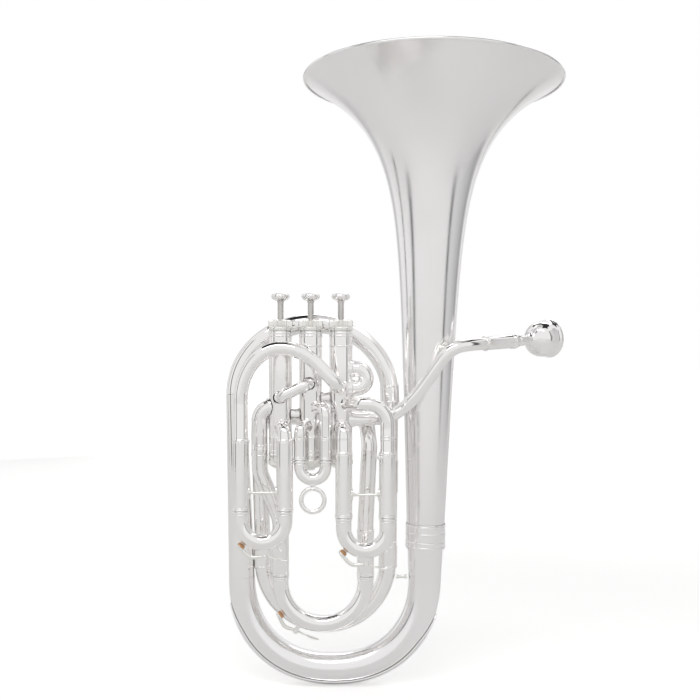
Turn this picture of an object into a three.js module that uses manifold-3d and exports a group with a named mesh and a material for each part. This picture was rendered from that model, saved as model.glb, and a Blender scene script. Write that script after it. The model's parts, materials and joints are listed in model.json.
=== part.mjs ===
// A three-valve compensating baritone horn, an upright brass instrument of the tuba family.
// Millimetres, +Z up, bell mouth upward, the player's side of the bell facing +Y, the valve slides facing -Y.
// The origin is the lowest point of the bottom bow's guard.
import * as THREE from 'three';
import { mergeVertices } from 'three/addons/utils/BufferGeometryUtils.js';
import Module from 'manifold-3d';

const wasm = await Module();
wasm.setup();

// ---- Driving dimensions ----
const GAP = 0.3;
const TILTED_GAP = 0.6;
const WALL = 0.6;
const FACETS = 8;
const BOW_FACETS = 12;
const BEND_STEP = Math.PI / 6;
const BOW_STEP = Math.PI / 8;
const LARGE_BEND = 30;

// Depths of the layers of tubing, from the outer loop forward to the valve slides
const LOOP_Y = 0;
const CROSSOVER_Y = -3;
const TUNING_Y = -17;
const VALVE_Y = -24;
const SLIDE_2_Y = -42;
const SLIDE_Y = -44;

// Bell: axis foot, lean towards +X, rim
const BELL_FOOT_X = 84.6;
const BELL_FOOT_Z = 77;
const BELL_LEAN = 0.0163;
const BELL_RIM_HEIGHT = 480.8;
const BELL_RIM_RADIUS = 119;
const RIM_BEAD_RADIUS = 1.5;
const BELL_WALL = 0.8;
const BELL_START = 60.3;
const BELL_FACETS = 28;
const BELL_START_RADIUS = 17;
const BELL_TAPER = 0.04;
const BELL_FLARE_LENGTH = 45;
const BELL_RINGS = 13;
const GARLAND_BOTTOM = 49;
const GARLAND_TOP = 72;
const GARLAND_RADIUS = 18.8;

// Outer loop
const BOW_LEFT_X = -84.4;
const BOW_CENTRE_Z = 99.8;
const BOW_FULLNESS = 2.2;
const BOW_LEFT_RADIUS = 12;
const BOW_BOTTOM_RADIUS = 13.6;
const BOW_RIGHT_RADIUS = 15;
const BOW_TOP_RADIUS = 16.8;
const GUARD_GAP = 0.5;
// Where the guard starts and ends, as shares of the bow, and its half width around the tube in radians
const GUARD_START = 0.075;
const GUARD_END = 0.885;
const GUARD_SPREAD = 0.82;
const TOP_BOW_X = -18.6;
const TOP_BOW_Z = 268.4;
const TOP_BOW_HALF_WIDTH = 71.2;
const TOP_BOW_RISE = 65.4;
const BRANCH_RADIUS = 9.75;
const RETURN_RADIUS = 8.25;

// Inner bow
const INNER_BOW_Z = 113.2;
const INNER_BOW_LEFT_X = -64.7;
const INNER_BOW_RIGHT_X = 50.7;
const INNER_BOW_RADIUS = 7.7;

// Valves: axis positions, heights and radii
const VALVE_PITCH = 27.2;
const VALVE_2_X = -19.7;
const CASING_BOTTOM = 213.5;
const CASING_TOP = 325.7;
const CASING_RADIUS = 10.25;
const CASING_BORE = 9.5;
const CAP_RADIUS = 11;
const TOP_CAP_TOP = 336;
const BOTTOM_CAP_BOTTOM = 200.7;
const PISTON_RADIUS = 9;
const PISTON_BOTTOM = 230;
const PISTON_TOP = 316;
const STEM_RADIUS = 2.7;
const BUTTON_RADIUS = 8.4;
const BUTTON_BOTTOM = 353.4;
const BUTTON_TOP = 359.4;
const VALVE_FACETS = 12;
const PORT_RADIUS = 5.6;
const LINK_RADIUS = 5;
const PASSAGE_RADIUS = 3.6;
const VALVE_TRAVEL = 15.5;
const CAP_FLOOR = 2.5;
const SPRING_RADIUS = 5.6;
const SPRING_WIRE = 0.5;
const SPRING_TURNS = 3;
const SPRING_RECESS = 6;

// Valve and tuning slides: sleeves are fixed, inner legs and crooks pull down out of them
const SLEEVE_RADIUS = 7.45;
const INNER_LEG_RADIUS = 5.95;
const CROOK_RADIUS = 6.85;
const VALVE_TUBE_RADIUS = 6.25;
const SLIDE_3_LEFT_X = -80.6;
const SLIDE_3_RIGHT_X = -41.8;
const SLIDE_3_MOUTH = 167.4;
const SLIDE_3_CROOK_Z = 158.5;
const SLIDE_1_LEFT_X = 10.2;
const SLIDE_1_RIGHT_X = 48.6;
const SLIDE_1_MOUTH = 161.3;
const SLIDE_1_CROOK_Z = 151.3;
const SLIDE_2_LEFT_X = -28.3;
const SLIDE_2_RIGHT_X = -5.9;
const SLIDE_2_MOUTH = 211.6;
const SLIDE_2_CROOK_Z = 205.5;
const SLIDE_2_RADIUS = 5.55;
const TUNING_LEFT_X = -47.5;
const TUNING_RIGHT_X = 29.8;
const TUNING_MOUTH = 104.2;
const TUNING_CROOK_Z = 98.6;
const TUNING_RADIUS = 7.25;
const TUNING_SLEEVE_RADIUS = 7.6;
const TUNING_SLEEVE_TOP = 146;
const TUNING_LEG_RADIUS = 6.1;
const SLEEVE_1_TOP = 218.6;
const SLEEVE_3_TOP = 229.7;
const SLEEVE_2_TOP = 232;
const SLIDE_2_LEG_RADIUS = 4.2;
const SLIDE_2_TUBE_RADIUS = 5.2;
const SLIDE_2_CROOK_RADIUS = 5.3;
const COLLAR_RISE = 0.6;
const COLLAR_LENGTH = 2.4;

// The third slide's long tube over the front of the valves
const LONG_ARC_TOP = 310.2;
const LONG_ARC_RISE = 45.5;
const LONG_ARC_HALF_WIDTH = 35.6;
const LONG_ARC_RADIUS = 42;
const LONG_ARC_DROP = 43;

// Pull ring of the second slide
const PULL_RING_Z = 176.1;
const PULL_RING_RADIUS = 10.25;
const PULL_RING_WIRE = 2.1;

// Water keys: a nipple, a cork in a pad, and a lever hinged on a pin between two ears
const NIPPLE_HEIGHT = 1.2;
const CORK_RADIUS = 2.7;
const CORK_HEIGHT = 2.2;
const PIVOT_LIFT = 5;
const PIN_RADIUS = 0.7;
const BARREL_HALF = 2.1;
const EAR_INNER = 2.5;
const EAR_OUTER = 3.7;

// Leadpipe, receiver and mouthpiece
const LEADPIPE_RADIUS = 5.9;
const RECEIVER_START = [137, -23, 314.7];
const RECEIVER_END = [169.1, -0.5, 317.5];
const RECEIVER_RADIUS = 6.4;
const MOUTHPIECE_INSERTION = 28;
const MOUTHPIECE_RIM_RADIUS = 18.5;

const SILVER = new THREE.Color(0.86, 0.86, 0.85);
const STEEL = new THREE.Color(0.62, 0.61, 0.6);
const CORK = new THREE.Color(0.62, 0.36, 0.18);

const part = new THREE.Group();

function add(name, geometry, position = [0, 0, 0], colour = SILVER, roughness = 0.08, metalness = 1) {
  const material = new THREE.MeshStandardMaterial({ color: colour, roughness, metalness });
  const mesh = new THREE.Mesh(geometry, material);
  mesh.name = name;
  mesh.position.set(...position);
  part.add(mesh);
  return mesh;
}

// ---- Solids: joining and cutting ----
function toSolid(geometry) {
  const bare = geometry.clone();
  bare.deleteAttribute('normal');
  bare.deleteAttribute('uv');
  const merged = mergeVertices(bare, 1e-4);
  const corners = merged.index.array;
  const faces = [];
  for (let i = 0; i < corners.length; i += 3) {
    const [a, b, c] = [corners[i], corners[i + 1], corners[i + 2]];
    if (a !== b && b !== c && c !== a) faces.push(a, b, c);
  }
  const vertProperties = new Float32Array(merged.attributes.position.array);
  return new wasm.Manifold(new wasm.Mesh({ numProp: 3, vertProperties, triVerts: new Uint32Array(faces) }));
}

function toGeometry(solid) {
  const mesh = solid.getMesh();
  const geometry = new THREE.BufferGeometry();
  geometry.setAttribute('position', new THREE.BufferAttribute(mesh.vertProperties, 3));
  geometry.setIndex(new THREE.BufferAttribute(mesh.triVerts, 1));
  geometry.computeVertexNormals();
  return geometry;
}

function cut(geometry, ...cutters) {
  const solid = cutters.reduce((body, cutter) => body.subtract(toSolid(cutter)), toSolid(geometry));
  return toGeometry(solid);
}

function join(...pieces) {
  return toGeometry(pieces.map(toSolid).reduce((body, piece) => body.add(piece)));
}

// ---- Basic shapes ----
// A solid or hollow turned about +Z, from [radius, height] points
function turned(outline, facets = VALVE_FACETS) {
  const points = outline.map(([radius, height]) => new THREE.Vector2(radius, height));
  return new THREE.LatheGeometry(points, facets).rotateX(Math.PI / 2);
}

// A round bar between two points
function rod(start, end, radius, facets = 8) {
  const from = new THREE.Vector3(...start);
  const along = new THREE.Vector3(...end).sub(from);
  const geometry = new THREE.CylinderGeometry(radius, radius, along.length(), facets);
  geometry.translate(0, along.length() / 2, 0);
  const turn = new THREE.Quaternion().setFromUnitVectors(new THREE.Vector3(0, 1, 0), along.normalize());
  return geometry.applyQuaternion(turn).translate(...start);
}

// ---- Routes: straight runs joined by arcs ----
class ArcCurve extends THREE.Curve {
  // A fullness over 2 swells the arc towards the square that holds it
  constructor(centre, radial, tangential, angle, fullness = 2) {
    super();
    Object.assign(this, { centre, radial, tangential, angle, fullness });
    const radius = Math.max(radial.length(), tangential.length());
    const step = radius > LARGE_BEND ? BOW_STEP : BEND_STEP;
    this.steps = Math.max(1, Math.ceil(angle / step - 1e-6));
  }

  getPoint(t, target = new THREE.Vector3()) {
    const swell = (value) => Math.sign(value) * Math.abs(value) ** (2 / this.fullness);
    return target.copy(this.centre)
      .addScaledVector(this.radial, swell(Math.cos(this.angle * t)))
      .addScaledVector(this.tangential, swell(Math.sin(this.angle * t)));
  }
}

class Route {
  constructor(curves) {
    this.curves = curves;
    this.starts = [0];
    this.stations = [0];
    for (const curve of curves) {
      const start = this.starts.at(-1);
      const length = curve.getLength();
      const steps = curve.steps ?? 1;
      for (let step = 1; step <= steps; step += 1) this.stations.push(start + (length * step) / steps);
      this.starts.push(start + length);
    }
    this.length = this.starts.at(-1);
    this.frames = this.carryFrames();
  }

  locate(distance) {
    let i = this.curves.length - 1;
    while (i > 0 && distance < this.starts[i] - 1e-9) i -= 1;
    const share = (distance - this.starts[i]) / (this.starts[i + 1] - this.starts[i]);
    const u = Math.min(1, Math.max(0, share));
    return { origin: this.curves[i].getPointAt(u), forward: this.curves[i].getTangentAt(u).normalize() };
  }

  carryFrames() {
    const frames = [];
    for (const distance of this.stations) {
      const { origin, forward } = this.locate(distance);
      const last = frames.at(-1);
      let side = Math.abs(forward.y) > 0.9 ? new THREE.Vector3(1, 0, 0) : new THREE.Vector3(0, 1, 0);
      if (last) side = last.side.clone().applyQuaternion(new THREE.Quaternion().setFromUnitVectors(last.forward, forward));
      side.addScaledVector(forward, -side.dot(forward)).normalize();
      frames.push({ distance, origin, forward, side });
    }
    return frames;
  }

  frameAt(distance) {
    const { origin, forward } = this.locate(distance);
    let last = this.frames[0];
    for (const frame of this.frames) {
      if (frame.distance <= distance + 1e-9) last = frame;
    }
    const side = last.side.clone().applyQuaternion(new THREE.Quaternion().setFromUnitVectors(last.forward, forward));
    side.addScaledVector(forward, -side.dot(forward)).normalize();
    return { origin, forward, side, up: side.clone().cross(forward) };
  }
}

// Corners are [x, y, z] or [x, y, z, bend radius]
function roundedCurves(corners) {
  const points = corners.map(([x, y, z]) => new THREE.Vector3(x, y, z));
  const curves = [];
  let cursor = points[0];
  for (let i = 1; i < points.length - 1; i += 1) {
    const arrive = points[i].clone().sub(points[i - 1]).normalize();
    const leave = points[i + 1].clone().sub(points[i]).normalize();
    const turn = arrive.angleTo(leave);
    const radius = corners[i][3];
    const reach = radius * Math.tan(turn / 2);
    const start = points[i].clone().addScaledVector(arrive, -reach);
    const inward = leave.clone().addScaledVector(arrive, -leave.dot(arrive)).normalize();
    const centre = start.clone().addScaledVector(inward, radius);
    if (start.distanceTo(cursor) > 0.01) curves.push(new THREE.LineCurve3(cursor, start));
    curves.push(new ArcCurve(centre, inward.multiplyScalar(-radius), arrive.multiplyScalar(radius), turn));
    cursor = points[i].clone().addScaledVector(leave, reach);
  }
  const end = points.at(-1);
  if (end.distanceTo(cursor) > 0.01) curves.push(new THREE.LineCurve3(cursor, end));
  return curves;
}

function rounded(corners) {
  return new Route(roundedCurves(corners));
}

// A flat arc in an upright plane at one depth, angles in degrees anticlockwise from +X
function uprightArc(x, y, z, radiusX, radiusZ, startDegrees, turnDegrees, fullness = 2) {
  const start = THREE.MathUtils.degToRad(startDegrees);
  const turn = THREE.MathUtils.degToRad(turnDegrees);
  const sense = Math.sign(turn);
  const radial = new THREE.Vector3(radiusX * Math.cos(start), 0, radiusZ * Math.sin(start));
  const tangential = new THREE.Vector3(-radiusX * Math.sin(start), 0, radiusZ * Math.cos(start));
  tangential.multiplyScalar(sense);
  return new ArcCurve(new THREE.Vector3(x, y, z), radial, tangential, Math.abs(turn), fullness);
}

function line(start, end) {
  return new THREE.LineCurve3(new THREE.Vector3(...start), new THREE.Vector3(...end));
}

// A U of tubing hanging from two upright legs at the same depth
function hangingU(leftX, rightX, y, top, crookZ) {
  const radius = (rightX - leftX) / 2;
  return new Route([
    line([leftX, y, top], [leftX, y, crookZ]),
    uprightArc((leftX + rightX) / 2, y, crookZ, radius, radius, 180, 180),
    line([rightX, y, crookZ], [rightX, y, top]),
  ]);
}

// ---- Tubes ----
// Bends a geometry modelled along +Y so that its Y axis follows the route
function bend(geometry, route) {
  const position = geometry.attributes.position;
  const known = new Map();
  for (let i = 0; i < position.count; i += 1) {
    const distance = position.getY(i);
    const key = distance.toFixed(4);
    if (!known.has(key)) known.set(key, route.frameAt(distance));
    const { origin, side, up } = known.get(key);
    const point = origin.clone().addScaledVector(side, position.getX(i)).addScaledVector(up, position.getZ(i));
    position.setXYZ(i, point.x, point.y, point.z);
  }
  return geometry;
}

// Adds the route's own stations to an outline of [distance, radius] points
function alongStations(outline, stations) {
  const points = [];
  for (let i = 0; i < outline.length - 1; i += 1) {
    const [start, startRadius] = outline[i];
    const [end, endRadius] = outline[i + 1];
    points.push(outline[i]);
    for (const station of stations) {
      const share = (station - start) / (end - start);
      const inside = station > start + 0.05 && station < end - 0.05;
      if (inside) points.push([station, startRadius + share * (endRadius - startRadius)]);
    }
  }
  points.push(outline.at(-1));
  return points;
}

// A tube whose outer and bore outlines are lists of [distance, radius]
function tube(route, outer, bore, facets = FACETS) {
  const skin = alongStations(outer, route.stations);
  const lining = alongStations(bore, route.stations).reverse();
  const points = [...skin, ...lining, skin[0]].map(([distance, radius]) => new THREE.Vector2(radius, distance));
  return bend(new THREE.LatheGeometry(points, facets), route);
}

// A tube that tapers evenly from one outer radius to another
function taper(route, startRadius, endRadius = startRadius, facets = FACETS, wall = WALL) {
  const outer = [[0, startRadius], [route.length, endRadius]];
  const bore = [[0, startRadius - wall], [route.length, endRadius - wall]];
  return tube(route, outer, bore, facets);
}

// A solid round bar that follows a route
function bar(route, radius, facets = 8) {
  const outline = alongStations([[0, radius], [route.length, radius]], route.stations);
  const points = [[0, 0], ...outline, [route.length, 0]].map(([distance, r]) => new THREE.Vector2(r, distance));
  return bend(new THREE.LatheGeometry(points, facets), route);
}

// ---- Bell ----
function bellAxis(height) {
  return [BELL_FOOT_X + height * Math.sin(BELL_LEAN), LOOP_Y, BELL_FOOT_Z + height * Math.cos(BELL_LEAN)];
}

function onBellAxis(geometry) {
  return geometry.rotateY(BELL_LEAN).translate(BELL_FOOT_X, LOOP_Y, BELL_FOOT_Z);
}

// The bell widens in a straight taper, which an exponential flare opens out to the rim
function bellRadius(height) {
  const taper = (at) => BELL_START_RADIUS + BELL_TAPER * (at - BELL_START);
  const flare = Math.exp((height - BELL_RIM_HEIGHT) / BELL_FLARE_LENGTH);
  return taper(height) + (BELL_RIM_RADIUS - taper(BELL_RIM_HEIGHT)) * flare;
}

function makeBell() {
  // The rings stand closer together towards the rim
  const crowding = 1.7;
  const outside = [];
  for (let ring = 0; ring <= BELL_RINGS; ring += 1) {
    const below = (BELL_RIM_HEIGHT - BELL_START) * (1 - ring / BELL_RINGS) ** crowding;
    outside.push([bellRadius(BELL_RIM_HEIGHT - below), BELL_RIM_HEIGHT - below]);
  }
  const inside = outside.map(([radius, height], i) => {
    const before = outside[Math.max(0, i - 1)];
    const after = outside[Math.min(outside.length - 1, i + 1)];
    const slope = Math.atan2(after[0] - before[0], after[1] - before[1]);
    return [radius - BELL_WALL * Math.cos(slope), height + BELL_WALL * Math.sin(slope)];
  });
  const bead = [];
  for (let degrees = -120; degrees <= 120; degrees += 60) {
    const angle = THREE.MathUtils.degToRad(degrees);
    const radius = BELL_RIM_RADIUS + RIM_BEAD_RADIUS * Math.cos(angle);
    bead.push([radius, BELL_RIM_HEIGHT + RIM_BEAD_RADIUS * Math.sin(angle)]);
  }
  const loop = [...outside.slice(0, -1), ...bead, ...inside.slice(0, -1).reverse(), outside[0]];
  add('bell', onBellAxis(turned(loop, BELL_FACETS)));
}

function makeGarland() {
  const bore = (height) => (height <= BELL_START ? 16.95 : 17.15) + GAP;
  const loop = [
    [bore(GARLAND_BOTTOM), GARLAND_BOTTOM], [GARLAND_RADIUS - 0.6, GARLAND_BOTTOM],
    [GARLAND_RADIUS, GARLAND_BOTTOM + 1.5], [GARLAND_RADIUS, GARLAND_TOP - 1.5],
    [GARLAND_RADIUS - 0.4, GARLAND_TOP], [17.95, GARLAND_TOP], [17.45, BELL_START],
    [bore(GARLAND_BOTTOM), GARLAND_BOTTOM],
  ];
  add('bell_garland', onBellAxis(turned(loop, BELL_FACETS)));
}

// ---- Outer loop ----
const bowTop = bellAxis((BOW_CENTRE_Z - BELL_FOOT_Z) / Math.cos(BELL_LEAN));
const bowCentreX = (BOW_LEFT_X + bowTop[0]) / 2;
const bowRadius = (bowTop[0] - BOW_LEFT_X) / 2;

const bowArc = uprightArc(bowCentreX, LOOP_Y, BOW_CENTRE_Z, bowRadius, bowRadius, 180, 180, BOW_FULLNESS);
const halfBow = bowArc.getLength() / 2;

function makeOuterLoop() {
  const bowRoute = new Route([bowArc, line(bowTop, bellAxis(BELL_START - GAP))]);
  const bowOutline = [
    [0, BOW_LEFT_RADIUS], [halfBow, BOW_BOTTOM_RADIUS], [2 * halfBow, BOW_RIGHT_RADIUS],
    [bowRoute.length, BOW_TOP_RADIUS],
  ];
  const bowBore = bowOutline.map(([distance, radius]) => [distance, radius - BELL_WALL]);
  add('bottom_bow', tube(bowRoute, bowOutline, bowBore, BOW_FACETS));

  const topLeftX = TOP_BOW_X - TOP_BOW_HALF_WIDTH;
  const topRightX = TOP_BOW_X + TOP_BOW_HALF_WIDTH;
  const leftRoute = rounded([
    [BOW_LEFT_X, LOOP_Y, BOW_CENTRE_Z + TILTED_GAP], [topLeftX, LOOP_Y, TOP_BOW_Z - TILTED_GAP],
  ]);
  add('left_branch', taper(leftRoute, BOW_LEFT_RADIUS, BRANCH_RADIUS, BOW_FACETS));
  const topArc = uprightArc(TOP_BOW_X, LOOP_Y, TOP_BOW_Z, TOP_BOW_HALF_WIDTH, TOP_BOW_RISE, 180, -180);
  add('top_bow', taper(new Route([topArc]), BRANCH_RADIUS, RETURN_RADIUS, BOW_FACETS));
  const rightRoute = rounded([
    [topRightX, LOOP_Y, TOP_BOW_Z - TILTED_GAP], [INNER_BOW_RIGHT_X, LOOP_Y, INNER_BOW_Z + TILTED_GAP],
  ]);
  add('right_branch', taper(rightRoute, RETURN_RADIUS, INNER_BOW_RADIUS + GAP, BOW_FACETS));
  const innerX = (INNER_BOW_LEFT_X + INNER_BOW_RIGHT_X) / 2;
  const innerRadius = (INNER_BOW_RIGHT_X - INNER_BOW_LEFT_X) / 2;
  const innerArc = uprightArc(innerX, LOOP_Y, INNER_BOW_Z, innerRadius, innerRadius, 180, 180);
  add('inner_bow', taper(new Route([innerArc]), INNER_BOW_RADIUS));
}

// A channel of sheet wrapped round the outside of the bottom bow, whose lowest point is the origin
function makeBowGuard() {
  const thickness = BOW_CENTRE_Z - bowRadius - BOW_BOTTOM_RADIUS - GUARD_GAP;
  const route = new Route([bowArc]);
  const start = GUARD_START * route.length;
  const end = GUARD_END * route.length;
  const stations = [start, ...route.stations.filter((distance) => distance > start && distance < end), end];
  const radiusAt = (distance) => {
    const share = distance / halfBow;
    if (share < 1) return BOW_LEFT_RADIUS + share * (BOW_BOTTOM_RADIUS - BOW_LEFT_RADIUS);
    return BOW_BOTTOM_RADIUS + (share - 1) * (BOW_RIGHT_RADIUS - BOW_BOTTOM_RADIUS);
  };
  const section = new THREE.Shape();
  section.absarc(0, 0, 1 + (GUARD_GAP + thickness) / BOW_BOTTOM_RADIUS, -GUARD_SPREAD, GUARD_SPREAD, false);
  section.absarc(0, 0, 1 + GUARD_GAP / BOW_BOTTOM_RADIUS, GUARD_SPREAD, -GUARD_SPREAD, true);
  section.closePath();
  const steps = stations.length - 1;
  const strip = new THREE.ExtrudeGeometry(section, { depth: steps, steps, bevelEnabled: false, curveSegments: 6 });
  const position = strip.attributes.position;
  const depth = new THREE.Vector3(0, 1, 0);
  for (let i = 0; i < position.count; i += 1) {
    const around = Math.atan2(position.getY(i), position.getX(i));
    const lift = (Math.hypot(position.getX(i), position.getY(i)) - 1) * BOW_BOTTOM_RADIUS;
    const distance = stations[Math.round(position.getZ(i))];
    const { origin, forward } = route.frameAt(distance);
    const outward = depth.clone().cross(forward);
    const radius = radiusAt(distance) + lift;
    const point = origin.addScaledVector(outward, radius * Math.cos(around));
    point.addScaledVector(depth, radius * Math.sin(around));
    position.setXYZ(i, point.x, point.y, point.z);
  }
  add('bow_guard', strip);
}

// ---- Valves ----
const VALVE_X = [VALVE_2_X + VALVE_PITCH, VALVE_2_X, VALVE_2_X - VALVE_PITCH];

// Ports are [direction in degrees from +X, height]
const LEADPIPE_PORT = [0, 246.4];
const SLIDE_1_LEFT_PORT = [-82.3, 239.7];
const SLIDE_1_RIGHT_PORT = [-45, 260.9];
const LONG_ARC_PORT = [-90, 275.2];
const LOOP_1_PORTS = [[0, 291.8], [0, 274.6]];
const LINK_12_Z = 266;
const LINK_23_Z = 251;
const SLIDE_2_LEFT_PORT = [-115.5, 241.4];
const SLIDE_2_RIGHT_PORT = [-52.5, 257.5];
const DIAGONAL_2_PORT = [-97, 278.8];
const LOOP_2_PORTS = [[90, 293], [90, 272]];
const EXIT_PORT = [180, 257.5];
const SLIDE_3_RIGHT_PORT = [-75.7, 239.7];
const DIAGONAL_3_PORT = [-91, 266.2];
const PORTS = [
  [LEADPIPE_PORT, SLIDE_1_LEFT_PORT, SLIDE_1_RIGHT_PORT, LONG_ARC_PORT, ...LOOP_1_PORTS, [180, LINK_12_Z]],
  [[0, LINK_12_Z], [180, LINK_23_Z], SLIDE_2_LEFT_PORT, SLIDE_2_RIGHT_PORT, DIAGONAL_2_PORT, ...LOOP_2_PORTS],
  [[0, LINK_23_Z], EXIT_PORT, SLIDE_3_RIGHT_PORT, DIAGONAL_3_PORT],
];

// A point on a port's centreline, at a distance from its valve's axis
function atPort(valve, [degrees, height], distance) {
  const angle = THREE.MathUtils.degToRad(degrees);
  return [VALVE_X[valve] + distance * Math.cos(angle), VALVE_Y + distance * Math.sin(angle), height];
}

// The room taken by a casing, which the tubes that meet it are trimmed to
function casingRoom(valve) {
  const radius = CASING_RADIUS + GAP;
  const outline = [[0, CASING_BOTTOM], [radius, CASING_BOTTOM], [radius, CASING_TOP], [0, CASING_TOP]];
  return turned(outline).translate(VALVE_X[valve], VALVE_Y, 0);
}

function makeCasing(valve) {
  const outline = [
    [CASING_BORE, CASING_BOTTOM], [CASING_RADIUS, CASING_BOTTOM], [CASING_RADIUS, CASING_TOP],
    [CASING_BORE, CASING_TOP], [CASING_BORE, CASING_BOTTOM],
  ];
  const casing = turned(outline).translate(VALVE_X[valve], VALVE_Y, 0);
  const holes = PORTS[valve].map((port) => {
    return rod(atPort(valve, port, CASING_BORE / 2), atPort(valve, port, CASING_RADIUS + 2), PORT_RADIUS - WALL);
  });
  add(`valve_${valve + 1}_casing`, cut(casing, ...holes));
}

function makeCaps(valve) {
  const place = [VALVE_X[valve], VALVE_Y, 0];
  const skirt = CASING_TOP + GAP;
  const hole = STEM_RADIUS + 0.5;
  add(`valve_${valve + 1}_top_cap`, turned([
    [CASING_BORE, skirt], [CAP_RADIUS - 0.4, skirt], [CAP_RADIUS, skirt + 1], [CAP_RADIUS, TOP_CAP_TOP - 1.2],
    [CAP_RADIUS - 1.6, TOP_CAP_TOP], [hole, TOP_CAP_TOP], [hole, TOP_CAP_TOP - 3],
    [CASING_BORE, TOP_CAP_TOP - 3], [CASING_BORE, skirt],
  ]), place);
  const lip = CASING_BOTTOM - GAP;
  add(`valve_${valve + 1}_bottom_cap`, turned([
    [0, BOTTOM_CAP_BOTTOM], [4, BOTTOM_CAP_BOTTOM], [CAP_RADIUS - 1, BOTTOM_CAP_BOTTOM + 1.6],
    [CAP_RADIUS, BOTTOM_CAP_BOTTOM + 3], [CAP_RADIUS, lip], [CASING_BORE, lip],
    [CASING_BORE, BOTTOM_CAP_BOTTOM + CAP_FLOOR], [0, BOTTOM_CAP_BOTTOM + CAP_FLOOR],
  ]), place);
}

// A straight passage across the piston, between two of its ports
function passage(valve, from, to) {
  return rod(atPort(valve, from, PISTON_RADIUS + 3), atPort(valve, to, PISTON_RADIUS + 3), PASSAGE_RADIUS, 8);
}

function makePiston(valve) {
  const body = turned([
    [0, PISTON_BOTTOM + SPRING_RECESS], [SPRING_RADIUS + 1.6, PISTON_BOTTOM + SPRING_RECESS],
    [SPRING_RADIUS + 1.6, PISTON_BOTTOM], [PISTON_RADIUS, PISTON_BOTTOM],
    [PISTON_RADIUS, PISTON_TOP], [0, PISTON_TOP],
  ]).translate(VALVE_X[valve], VALVE_Y, 0);
  const [entry, exit] = [LEADPIPE_PORT[1], LINK_12_Z - 8];
  const passages = [
    passage(valve, [0, entry], [180, exit]),
    passage(valve, [-90, exit + VALVE_TRAVEL - 1], [90, exit + VALVE_TRAVEL - 1]),
    passage(valve, [0, exit + 2 * VALVE_TRAVEL], [180, exit + 2 * VALVE_TRAVEL + 4]),
  ];
  add(`valve_${valve + 1}_piston`, cut(body, ...passages), [0, 0, 0], STEEL, 0.3);
}

function makeStemAndButton(valve) {
  const place = [VALVE_X[valve], VALVE_Y, 0];
  const stem = rod([0, 0, PISTON_TOP + GAP], [0, 0, BUTTON_BOTTOM - GAP], STEM_RADIUS, 10);
  add(`valve_${valve + 1}_stem`, stem, place, STEEL, 0.35);
  add(`valve_${valve + 1}_button`, turned([
    [0, BUTTON_BOTTOM], [BUTTON_RADIUS - 2.6, BUTTON_BOTTOM], [BUTTON_RADIUS, BUTTON_BOTTOM + 1.8],
    [BUTTON_RADIUS, BUTTON_TOP - 1.2], [BUTTON_RADIUS - 1, BUTTON_TOP], [BUTTON_RADIUS - 2.6, BUTTON_TOP - 0.7],
    [0, BUTTON_TOP - 1.4],
  ]), place);
}

class HelixCurve extends THREE.Curve {
  constructor(radius, bottom, top, turns) {
    super();
    Object.assign(this, { radius, bottom, top, turns, steps: turns * 8 });
  }

  getPoint(t, target = new THREE.Vector3()) {
    const angle = 2 * Math.PI * this.turns * t;
    const height = this.bottom + (this.top - this.bottom) * t;
    return target.set(this.radius * Math.cos(angle), this.radius * Math.sin(angle), height);
  }
}

function makeSpring(valve) {
  const bottom = BOTTOM_CAP_BOTTOM + CAP_FLOOR + SPRING_WIRE + GAP;
  const top = PISTON_BOTTOM + SPRING_RECESS - SPRING_WIRE - GAP;
  const coil = new Route([new HelixCurve(SPRING_RADIUS, bottom, top, SPRING_TURNS)]);
  add(`valve_${valve + 1}_spring`, bar(coil, SPRING_WIRE, 4), [VALVE_X[valve], VALVE_Y, 0], STEEL, 0.3);
}

// Short tubes that join the casings to each other
function makeLinks() {
  for (const [name, right, height] of [['link_1_2', 0, LINK_12_Z], ['link_2_3', 1, LINK_23_Z]]) {
    const route = rounded([atPort(right, [180, height], 6), atPort(right + 1, [0, height], 6)]);
    add(`valve_${name}`, cut(taper(route, LINK_RADIUS), casingRoom(right), casingRoom(right + 1)));
  }
  const diagonal = rounded([
    atPort(2, DIAGONAL_3_PORT, 5), [...atPort(2, DIAGONAL_3_PORT, 14.5), 7],
    [...atPort(1, DIAGONAL_2_PORT, 14.5), 7], atPort(1, DIAGONAL_2_PORT, 5),
  ]);
  add('valve_diagonal_link', cut(taper(diagonal, LINK_RADIUS), casingRoom(1), casingRoom(2)));
}

// The small compensating loops: a U on the right of the first valve and one behind the second
function makeCompensatingLoops() {
  const first = { name: 'compensating_loop_1', valve: 0, ports: LOOP_1_PORTS, reach: 22.8, radius: 7 };
  const second = { name: 'compensating_loop_2', valve: 1, ports: LOOP_2_PORTS, reach: 22.5, radius: LINK_RADIUS };
  for (const { name, valve, ports, reach, radius } of [first, second]) {
    const bendRadius = (ports[0][1] - ports[1][1]) / 2;
    const route = rounded([
      atPort(valve, ports[0], 6), [...atPort(valve, ports[0], reach), bendRadius],
      [...atPort(valve, ports[1], reach), bendRadius], atPort(valve, ports[1], 6),
    ]);
    add(name, cut(taper(route, radius), casingRoom(valve)));
  }
}

// ---- Tubes from the valves to the tuning slide and round to the inner bow ----
function sleeveOutline(route, sleeveTop, sleeveRadius, tubeRadius) {
  const collar = sleeveRadius + COLLAR_RISE;
  return [
    [0, collar], [COLLAR_LENGTH, collar], [COLLAR_LENGTH + 0.3, sleeveRadius], [sleeveTop, sleeveRadius],
    [sleeveTop + 0.6, tubeRadius], [route.length, tubeRadius],
  ];
}

// The bore is wide where the inner leg slides and narrows above it
function sleeveBore(route, boreTop, sleeveRadius, tubeRadius) {
  return [
    [0, sleeveRadius - WALL], [boreTop, sleeveRadius - WALL], [boreTop + 0.8, tubeRadius - WALL],
    [route.length, tubeRadius - WALL],
  ];
}

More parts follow.
